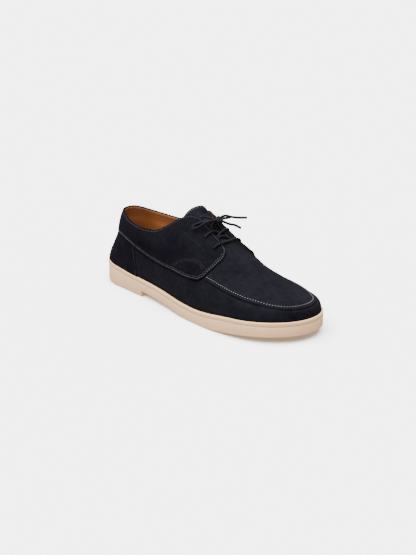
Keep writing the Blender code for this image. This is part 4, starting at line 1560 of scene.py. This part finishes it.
class Tongue:
    """Padded tongue under the facings, rising above them behind the knot."""

    def __init__(self, last: LastedSurface, sizes: TongueSizes) -> None:
        """Keep the surface and sizes."""
        self.last, self.sizes = last, sizes
        self.crest_columns = [drawn(TONGUE_TOP, k) for k in (1, 2, 3)]

    def row(self, at: float, depth: float) -> np.ndarray:
        """Points across the tongue at one section, evenly spread from its middle.

        Args:
            at: Share of the outline.
            depth: Distance below the upper's surface, mm.

        Returns:
            Points in mm.
        """
        vs = np.linspace(0.55, 1.0, 40)
        left = self.last.at(-at, vs, -depth)
        right = self.last.at(at, vs, -depth)
        span = np.linalg.norm(right[-1] - left[-1])
        leave = unit(left[-1] - left[-4]) * span
        arrive = unit(right[-4] - right[-1]) * span
        bridge = np.array([hermite(left[-1], right[-1], leave, arrive, t)
                           for t in np.linspace(0, 1, 15)[1:-1]])
        line = np.vstack([left, bridge, right[::-1]])
        arcs = arc_lengths(line)
        centre = (arcs[len(left) - 1] + arcs[len(left) + len(bridge)]) / 2
        wider = self.sizes.wider * float(ease(at, 0.61, 0.64) * (1 - ease(at, 0.675, 0.69)))
        stops = centre + (read(TONGUE_REACH, 1, at) + wider) * np.linspace(-1, 1, self.sizes.columns)
        return np.stack([np.interp(stops, arcs, line[:, k]) for k in range(3)], axis=1)

    def surface(self) -> np.ndarray:
        """Outer face as an array (columns, rows, 3), with rolled top and sides.

        Returns:
            The points, mm.
        """
        s = self.sizes
        across = np.linspace(-1, 1, s.columns)
        rows = [self.row(at, read(TONGUE_DEPTH, 1, at)) for at in np.linspace(0.705, 0.55, 32)]
        crest = np.stack([column(across) for column in self.crest_columns], axis=1)
        crest[:, 2] += s.lift
        side = 1 - ease(np.abs(across), 0.3, 1.0)
        base = self.row(0.512, s.depth)
        base = base + (self.row(0.53, s.depth) - base) * side[:, None]
        rows += [rows[-1] + (base - rows[-1]) * 0.5, base]
        rows += [base + (crest - base) * share for share in s.fans]
        points = np.stack(rows, axis=1)
        normal = unit(np.cross(np.gradient(points, axis=0), np.gradient(points, axis=1)))
        border = np.vstack([soft_line(points[:, -1], 300), points[0, 26:], points[-1, 26:]])
        away = distance_to(points, border)
        out = dip(away - s.edge_row, 0.22, 0.5) - s.drop * (1 - rounded(away, s.roll))
        return points + normal * out[..., None]

    def build(self, palette: Palette) -> None:
        """Make the tongue, with a mark that rises towards its crest, where a lighter suede is mixed in as
        painted light from above.

        Args:
            palette: Materials.
        """
        points = self.surface()
        # The high mark sets where lighter suede is mixed in towards the crest: painted light.
        high = np.broadcast_to(ease(np.arange(points.shape[1]), 24, 36), points.shape[:2])
        item = sheet("tongue_suede", points, {"high": high})
        face_along(item, points[30, 20], np.array([0.3, 0.0, 1.0]))
        thicken(item, self.sizes.thick)
        dress(item, palette.tongue, "suede", "tongue")

    def edge_row(self) -> tuple[np.ndarray, np.ndarray]:
        """Line of the stitches inside the top edge, and its outward directions.

        Returns:
            Points in mm, and unit directions.
        """
        points = self.surface()
        normals = unit(np.cross(np.gradient(points, axis=0), np.gradient(points, axis=1)))
        line, ways = [], []
        for c in range(2, self.sizes.columns - 2):
            column = points[c, ::-1]
            arcs = arc_lengths(column)
            line.append([np.interp(self.sizes.edge_row, arcs, column[:, k]) for k in range(3)])
            ways.append(normals[c, -6])
        return np.array(line), np.array(ways)


# ---- laces ---------------------------------------------------------------------------
@dataclass(frozen=True)
class LaceSizes:
    """Sizes of the lace and its knot, in mm."""

    radius: float = 1.25
    end_radius: float = 1.4
    lie: float = 3.1
    arch: float = 3.2
    under: float = -3.5
    knot_at: tuple[float, float, float] = (164.5, 4.2, 98.3)
    knot_radius: float = 1.9
    knot_width: float = 6.2
    knot_turns: float = 1.8
    knot_points: int = 25


class Laces:
    """Bars and crossings through the eyelets, and the small bow."""

    UP = np.array([0.45, 0.0, 0.9])  # way up out of the throat

    def __init__(self, last: LastedSurface, sizes: LaceSizes, holes: "Eyelets") -> None:
        """Keep the surface, sizes and eyelets."""
        self.last, self.sizes, self.holes = last, sizes, holes

    def over_quarter(self, side: Side, which: int, edge_at: float, lower: float = 0.0) -> list[np.ndarray]:
        """Route from inside an eyelet over the quarter to the facing's edge.

        Args:
            side: Side of the shoe.
            which: Eyelet, 0 the lowest.
            edge_at: Share of the outline where the lace passes the edge.
            lower: How much lower than usual it lies, mm.

        Returns:
            Guide points, mm.
        """
        turn, v = self.holes.place(side, which)
        at, lie, sign = abs(turn), self.sizes.lie - lower, side.value
        drift = edge_at - at
        stops = ((at, v, -2.4), (at, v, 0.2), (at + 0.02 * drift, v + 0.006, 2.0),
                 (at + 0.15 * drift, v + 0.035, lie + 0.35),
                 (at + 0.55 * drift, (v + 1) / 2 + 0.02, lie + 0.1), (edge_at, 1.0, lie))
        return [self.last.at(sign * a, b, c) for a, b, c in stops]

    def in_gap(self, *stops: tuple[float, float, float]) -> list[np.ndarray]:
        """Points between the facings.

        Args:
            *stops: Share of the outline, share across from 0 at the lateral edge to 1, and height in mm.

        Returns:
            The points, mm.
        """
        points = []
        for at, share, out in stops:
            lateral, medial = self.last.at(-at, 1.0), self.last.at(at, 1.0)
            lift = out + self.sizes.arch * share * (1 - share)
            points.append(lateral + (medial - lateral) * share + self.UP * lift)
        return points

    def under(self, side: Side, at: float, v: float) -> list[np.ndarray]:
        """Point under the facing, between the lining and the tongue."""
        return [self.last.at(side.value * at, v, self.sizes.under)]

    def routes(self) -> list[tuple[str, str, list[np.ndarray]]]:
        """Laces between the facings.

        Returns:
            Piece name, replaced node or nothing, and guide points of each.
        """
        left, right, over, gap, under = Side.LATERAL, Side.MEDIAL, self.over_quarter, self.in_gap, self.under
        knot = np.array(self.sizes.knot_at)
        rise = [np.array(point) for point in (
            (146.6, -7.6, 99.4), (148.8, -6.0, 101.2), (152.3, -3.6, 101.5), (155.7, -1.2, 100.8),
            (159.1, 1.4, 99.8))]
        return [
            ("lace_low_bar", "lace_bar",
             over(left, 0, 0.649) + gap((0.648, 0.5, 1.4)) + over(right, 0, 0.646)[::-1]),
            ("lace_cross_left", "lace_crossing",
             over(left, 1, 0.600, 0.45) + gap((0.602, 0.30, -0.6), (0.605, 0.58, -1.9), (0.608, 0.84, -1.5))
             + under(right, 0.612, 0.95)),
            ("lace_cross_right", "",
             over(right, 1, 0.600, 0.9)[:-1]
             + gap((0.606, 0.94, 2.0), (0.610, 0.60, 1.75), (0.613, 0.34, 1.1), (0.618, 0.12, 0.1))
             + under(left, 0.621, 0.95)),
            ("lace_under_left", "lace_under",
             under(left, 0.624, 0.94)
             + gap((0.621, 0.19, -0.6), (0.624, 0.42, 0.8), (0.628, 0.62, 1.0), (0.635, 0.80, 0.3))
             + under(right, 0.643, 0.94)),
            ("lace_under_right", "",
             under(left, 0.648, 0.94) + gap((0.647, 0.16, -0.9), (0.645, 0.5, -1.5), (0.638, 0.84, -1.8))
             + under(right, 0.630, 0.94)),
            ("lace_top_bar", "lace_yoke",
             over(left, 2, 0.558) + gap((0.572, 0.5, 1.2)) + over(right, 2, 0.558)[::-1]),
            ("lace_riser", "", under(left, 0.538, 0.93) + rise + [knot + np.array([-1.6, -0.8, 0.3])]),
            ("lace_riser_low", "",
             under(left, 0.592, 0.96) + gap((0.586, 0.12, -0.6), (0.578, 0.30, 1.4))
             + [knot + np.array([0.6, -1.6, -0.6])]),
        ]

    def build(self, palette: Palette) -> None:
        """Make the crossings and the bow.

        Args:
            palette: Materials.
        """
        for name, node, guides in self.routes():
            dress(tube(name, guides, self.sizes.radius), palette.lace, "lace", *filter(None, [node]))
        self.build_bow(palette)

    def knot_route(self) -> list[tuple[float, float, float]]:
        """Guide points of the knot's turns round its middle, without the lace that leaves it.

        Returns:
            The points (u, y, z), mm.
        """
        s = self.sizes
        x, y, z = s.knot_at
        route = []
        for share in (k / (s.knot_points - 1) for k in range(s.knot_points)):
            angle = 2 * math.pi * s.knot_turns * share - 0.5 * math.pi
            route.append((x + s.knot_radius * math.cos(angle), y + s.knot_width * (share - 0.5),
                          z + s.knot_radius * math.sin(angle)))
        return route

    def build_bow(self, palette: Palette) -> None:
        """Make the knot, flattened loop and two ends, on the CAD cords' routes.

        Args:
            palette: Materials.
        """
        thin, thick = self.sizes.radius, self.sizes.end_radius
        knot = self.knot_route() + [
            (165.8, 11.0, 100.0), (166.6, 14.0, 99.8), (167.4, 17.0, 100.1), (168.6, 20.5, 100.3),
            (169.8, 24.0, 99.5)]
        loop = [
            (163.8, 2.6, 98.2), (163.3, 0.2, 98.6), (161.0, -7.4, 99.8), (158.4, -10.8, 99.0),
            (156.1, -14.8, 98.1), (154.3, -19.7, 97.0), (153.9, -23.6, 95.4), (155.0, -24.2, 93.2),
            (158.5, -21.0, 94.8), (161.7, -17.8, 97.4), (164.1, -14.8, 100.0), (165.4, -10.4, 100.8),
            (165.6, -5.6, 100.6), (165.2, 0.4, 99.8)]
        long_end = [
            (164.0, 6.4, 100.6), (164.8, 9.6, 102.4), (166.6, 13.4, 102.7), (168.0, 19.0, 100.6),
            (170.6, 27.0, 98.7), (174.2, 36.4, 97.6)]
        short_end = [
            (165.2, 6.0, 97.8), (165.6, 9.8, 96.6), (165.6, 14.0, 94.4), (164.6, 20.5, 91.3),
            (164.4, 28.0, 88.7), (164.6, 36.4, 83.8)]
        for key, route, radius, far in (("knot", knot, thin, "object"), ("loop", loop, thin, "object"),
                                        ("end_long", long_end, thick, "knot"),
                                        ("end_short", short_end, thick, "knot")):
            item = tube(f"bow_{key}", [np.array(point) for point in route], radius)
            dress(item, palette.lace, "lace", f"lace_{key}")


# ---- stitches --------------------------------------------------------------------------
@dataclass(frozen=True)
class StitchSizes:
    """One stitch of a row, in mm."""

    pitch: float = 2.8
    length: float = 1.9
    radius: float = 0.36
    sink: float = 0.12


class Stitcher:
    """Lays rows of separate stitches on the surface and joins each row into one piece."""

    FLATTER = 0.8

    def __init__(self, last: LastedSurface) -> None:
        """Keep the surface."""
        self.last = last

    def lay(self, name: str, line: np.ndarray, out: Numbers, sizes: StitchSizes,
            finish: bpy.types.Material, slant: float = 0.0) -> None:
        """Row of stitches along places (turn, v).

        Args:
            name: Piece name.
            line: Places, one row each.
            out: Height of the surface they lie on, mm.
            sizes: Size of one stitch.
            finish: Thread's material.
            slant: Angle of each stitch to the row, radians.
        """
        points = self.last.at(line[:, 0], line[:, 1], out)
        normals = self.last.outward(line[:, 0], line[:, 1])
        self.along(name, points, normals, sizes, finish, slant)

    def along(self, name: str, points: np.ndarray, normals: np.ndarray, sizes: StitchSizes,
              finish: bpy.types.Material, slant: float = 0.0) -> None:
        """Row of stitches along points in space.

        Args:
            name: Piece name.
            points: Points of the row, mm.
            normals: Outward direction at each point.
            sizes: Size of one stitch.
            finish: Thread's material.
            slant: Angle of each stitch to the row, radians.
        """
        arcs = arc_lengths(points)
        count = max(int(arcs[-1] / sizes.pitch), 1)
        bm = bmesh.new()
        for k in range(count):
            middle = (k + 0.5) * arcs[-1] / count
            a, b, m = (np.array([np.interp(s, arcs, points[:, i]) for i in range(3)])
                       for s in (middle - 0.5, middle + 0.5, middle))
            up = unit(np.array([np.interp(middle, arcs, normals[:, i]) for i in range(3)]))
            along = unit(b - a)
            along = unit(along - along.dot(up) * up)
            across = np.cross(up, along)
            along, across = (math.cos(slant) * along + math.sin(slant) * across,
                             -math.sin(slant) * along + math.cos(slant) * across)
            made = bmesh.ops.create_uvsphere(bm, u_segments=8, v_segments=6, radius=1.0)
            axes = (along * sizes.length / 2, across * sizes.radius, up * sizes.radius * self.FLATTER)
            shape = Matrix(axes).transposed()
            bmesh.ops.transform(bm, matrix=(shape * MM).to_4x4(), verts=made["verts"])
            bmesh.ops.translate(bm, vec=Vector(to_metres(m - up * sizes.sink)), verts=made["verts"])
        mesh = bpy.data.meshes.new(name)
        bm.to_mesh(mesh)
        bm.free()
        mesh.shade_smooth()
        dress(link(name, mesh), finish, "suede")


class Seams:
    """All visible rows of stitching, each with the size of its stitches."""

    SMALL = StitchSizes(pitch=2.9, length=1.2, radius=0.24, sink=0.12)
    SPARSE = StitchSizes(pitch=3.2, length=0.95, radius=0.2, sink=0.12)
    WHIPPED = StitchSizes(pitch=3.0, length=1.6, radius=0.45, sink=0.05)
    PRICKED = StitchSizes(length=0.9, radius=0.2, sink=0.1)
    SLANT = 0.35
    COLLAR_END = 0.52
    RAW_FROM_V, RAW_TO_AT, RAW_WALL = 0.79, 0.505, 0.7

    def __init__(self, last: LastedSurface, upper: UpperSizes) -> None:
        """Keep the surface and sizes."""
        self.last, self.upper = last, upper
        self.stitcher = Stitcher(last)

    def outline_rows(self, side: Side, palette: Palette) -> None:
        """Two rows along the lower and front edge; the outer one goes on round the facing and collar.

        Args:
            side: Side of the shoe.
            palette: Materials.
        """
        s, tag, sign = self.upper, side.name.lower(), side.value
        quarter = Quarter(self.last, s, side)
        line = soft_line(quarter.border()[3::5], 500)
        row = self.last.beside(line, sign * -s.edge_row)
        by_v = self.last.rise(row[:, 0], row[:, 1])
        row = row[(1 - row[:, 1]) * by_v > s.top_row]
        at = np.linspace(abs(row[-1, 0]) - 0.004, 0.004, 400)
        by_v = self.last.rise(sign * at, 1.0)
        top = np.stack([sign * at, 1 - s.top_row / by_v], axis=1)
        inner = self.last.beside(line, sign * -s.inner_row)
        inner = inner[(inner[:, 1] < 0.84) & (np.arange(len(inner)) > 8)]
        if side is Side.MEDIAL:  # bare along the throat
            row, top = row[row[:, 1] < 0.80], top[np.abs(top[:, 0]) < self.COLLAR_END]
        for key, places, thread in (("edge", row, palette.thread), ("topline", top, palette.faint),
                                    ("inner", inner, palette.faint)):
            height = quarter.height(places[:, 0], places[:, 1])
            self.stitcher.lay(f"stitch_{tag}_{key}", places, height + 0.1, StitchSizes(), thread)
        inside = np.stack([sign * at, 1 - s.lining_row / by_v], axis=1)[at < self.COLLAR_END]
        flush = StitchSizes(sink=0.0)
        self.stitcher.lay(f"stitch_{tag}_lining", inside, s.lining_face, flush, palette.tan_thread)

    def raw_edge(self, palette: Palette) -> None:
        """Thin raw edge of the facing's backing, seen along the medial throat and its front corner.

        Args:
            palette: Materials.
        """
        quarter = Quarter(self.last, self.upper, Side.MEDIAL)
        front = quarter.border()[300:]
        front = front[front[:, 1] > self.RAW_FROM_V]
        at = np.linspace(front[-1, 0], self.RAW_TO_AT, 60)[1:]
        places = np.vstack([front, np.stack([at, np.ones(59)], axis=1)])
        points = self.last.at(places[:, 0], places[:, 1])
        normal = self.last.outward(places[:, 0], places[:, 1])
        along = unit(np.gradient(points, axis=0))
        beside = np.cross(along, normal)
        beside = beside * (1.0 if beside[20][0] > 0 else -1.0)
        share = ease(places[:, 1], 0.97, 1.0)
        low, high = 0.45 - 1.75 * share, 1.15 - 1.6 * share
        rows = [points + beside * 0.1 + normal * (low + (high - low) * k)[:, None]
                for k in np.linspace(0, 1, 5)]
        item = sheet("facing_raw_edge", np.stack(rows, axis=1))
        face_along(item, points[20] + normal[20] * 0.8, beside[20])
        thicken(item, self.RAW_WALL)
        dress(item, palette.raw_edge, "lining")

    def faint_rows(self, side: Side, palette: Palette) -> None:
        """Stitches of the hidden stiffeners: the arch, the facing's row and the counter's edge.

        Args:
            side: Side of the shoe.
            palette: Materials.
        """
        quarter, tag = Quarter(self.last, self.upper, side), side.name.lower()
        flip = np.array([-side.value, 1.0])
        arch = soft_line(ARCH_ROW, 80) * flip
        inner = self.last.beside(arch, side.value * self.upper.arch_gap)
        facing = soft_line(FACING_ROW, 60) * flip
        rows = (("arch", arch, self.SMALL, palette.faint), ("arch_inner", inner, self.SMALL, palette.faint),
                ("facing", facing, self.SPARSE, palette.ghost))
        for key, places, sizes, thread in rows:
            height = quarter.height(places[:, 0], places[:, 1], sunk=False)
            self.stitcher.lay(f"stitch_{tag}_{key}", places, height + 0.1, sizes, thread)
        back = Counter(self.last, self.upper).front_edge(side, 80, back=self.upper.counter_row_back)
        place = (self.last, back[:, 0], back[:, 1])
        height = self.upper.counter_face + soft_shape(*place) + foot_swell(*place)
        self.stitcher.lay(f"stitch_{tag}_counter", back, height, StitchSizes(radius=0.26), palette.faint)

    def apron_rows(self, palette: Palette) -> None:
        """Whip stitches over the apron's edge, and the row below them.

        Args:
            palette: Materials.
        """
        s = self.upper
        turns, vs = ApronSeam(self.last, s).places(s.whip_start, 260)
        line = np.stack([turns, vs], axis=1)
        self.stitcher.lay("stitch_apron", line, s.apron_lift, self.WHIPPED, palette.whip, slant=self.SLANT)
        low = np.stack([turns, vs - s.low_row / self.last.rise(turns, vs)], axis=1)
        self.stitcher.lay("stitch_apron_low", low, s.seam_height, self.PRICKED, palette.ghost)

    def build(self, palette: Palette, tongue: Tongue) -> None:
        """Lay every row.

        Args:
            palette: Materials.
            tongue: Tongue, for the row inside its top edge.
        """
        for side in Side:
            self.outline_rows(side, palette)
            self.faint_rows(side, palette)
        self.apron_rows(palette)
        self.raw_edge(palette)
        line, ways = tongue.edge_row()
        self.stitcher.along("stitch_tongue", line, ways, StitchSizes(), palette.whip)


# ---- studio ----------------------------------------------------------------------------
@dataclass(frozen=True)
class StudioSizes:
    """Camera and light set-up; angles in degrees, distances in metres, target in mm."""

    azimuth: float = 47.8
    elevation: float = 18.8
    distance: float = 1.5
    target: tuple[float, float, float] = (150.0, 0.0, 40.0)
    lens: float = 89.47
    sensor: float = 36.0
    shift_x: float = 0.0023
    shift_y: float = -0.0133
    nearest: float = 0.05
    floor_half: float = 6.0
    floor_grey: float = 0.92
    sky: float = 0.95
    lamp_energy: float = 16.0
    lamp_angle: float = 80.0
    lamp_from: tuple[float, float, float] = (0.06, -0.30, 1.0)


class Studio:
    """Floor, lights and camera."""

    def __init__(self, sizes: StudioSizes) -> None:
        """Keep the sizes."""
        self.sizes = sizes

    def build(self) -> None:
        """Make the camera, the floor and the lights."""
        self.build_camera()
        self.build_floor()
        self.build_light()

    def build_camera(self) -> None:
        """Set the camera on the shoe from the front of its lateral side."""
        s = self.sizes
        a, e = math.radians(s.azimuth), math.radians(s.elevation)
        back = Vector((math.sin(a) * math.cos(e), -math.cos(a) * math.cos(e), math.sin(e)))
        camera = link("camera", bpy.data.cameras.new("camera"))
        camera.location = Vector(to_metres(np.array(s.target))) + back * s.distance
        camera.rotation_euler = back.to_track_quat("Z", "Y").to_euler()
        camera.data.lens, camera.data.sensor_width = s.lens, s.sensor
        camera.data.shift_x, camera.data.shift_y = s.shift_x, s.shift_y
        camera.data.clip_start = s.nearest
        bpy.context.scene.camera = camera

    def build_floor(self) -> None:
        """Lay the plain pale floor, which throws no light back on the shoe."""
        bm = bmesh.new()
        bmesh.ops.create_grid(bm, x_segments=8, y_segments=8, size=self.sizes.floor_half)
        mesh = bpy.data.meshes.new("floor")
        bm.to_mesh(mesh)
        bm.free()
        floor = link("floor", mesh)
        pale = bpy.data.materials.new("pale_floor")
        pale.use_nodes = True
        shader = pale.node_tree.nodes["Principled BSDF"]
        shader.inputs["Base Color"].default_value = (*[self.sizes.floor_grey] * 3, 1.0)
        shader.inputs["Roughness"].default_value = 1.0
        shader.inputs["Specular IOR Level"].default_value = 0.0
        mesh.materials.append(pale)
        floor.visible_diffuse = floor.visible_glossy = False

    def build_light(self) -> None:
        """Set the even sky and one wide soft lamp."""
        s = self.sizes
        world = bpy.data.worlds.new("studio")
        bpy.context.scene.world = world
        world.use_nodes = True
        sky = world.node_tree.nodes["Background"]
        sky.inputs["Color"].default_value = (1.0, 1.0, 1.0, 1.0)
        sky.inputs["Strength"].default_value = s.sky
        data = bpy.data.lights.new("overhead", "SUN")
        data.energy, data.angle = s.lamp_energy, math.radians(s.lamp_angle)
        lamp = link("overhead", data)
        lamp.rotation_euler = Vector(s.lamp_from).to_track_quat("Z", "Y").to_euler()


def main() -> None:
    """Build the pieces in order."""
    logging.basicConfig(level=logging.INFO, format="%(name)s %(message)s")
    Studio(StudioSizes()).build()
    outline = Outline(LastSizes())
    last = LastedSurface(outline)
    palette = Palette()
    upper = UpperSizes()
    holes = Eyelets(last, EyeletSizes())
    Laces(last, LaceSizes(), holes).build(palette)
    sole = UnitSole(outline, SoleSizes())
    sole.build(palette)
    Sock(sole, SockSizes()).build(palette)
    shell = Shell(last, upper)
    shell.build_suede(palette, holes)
    shell.build_lining(palette, holes)
    ApronSeam(last, upper).build(palette)
    for side in Side:
        Quarter(last, upper, side).build(palette, holes)
    Counter(last, upper).build(palette)
    tongue = Tongue(last, TongueSizes())
    tongue.build(palette)
    Seams(last, upper).build(palette, tongue)


if __name__ == "__main__":
    main()
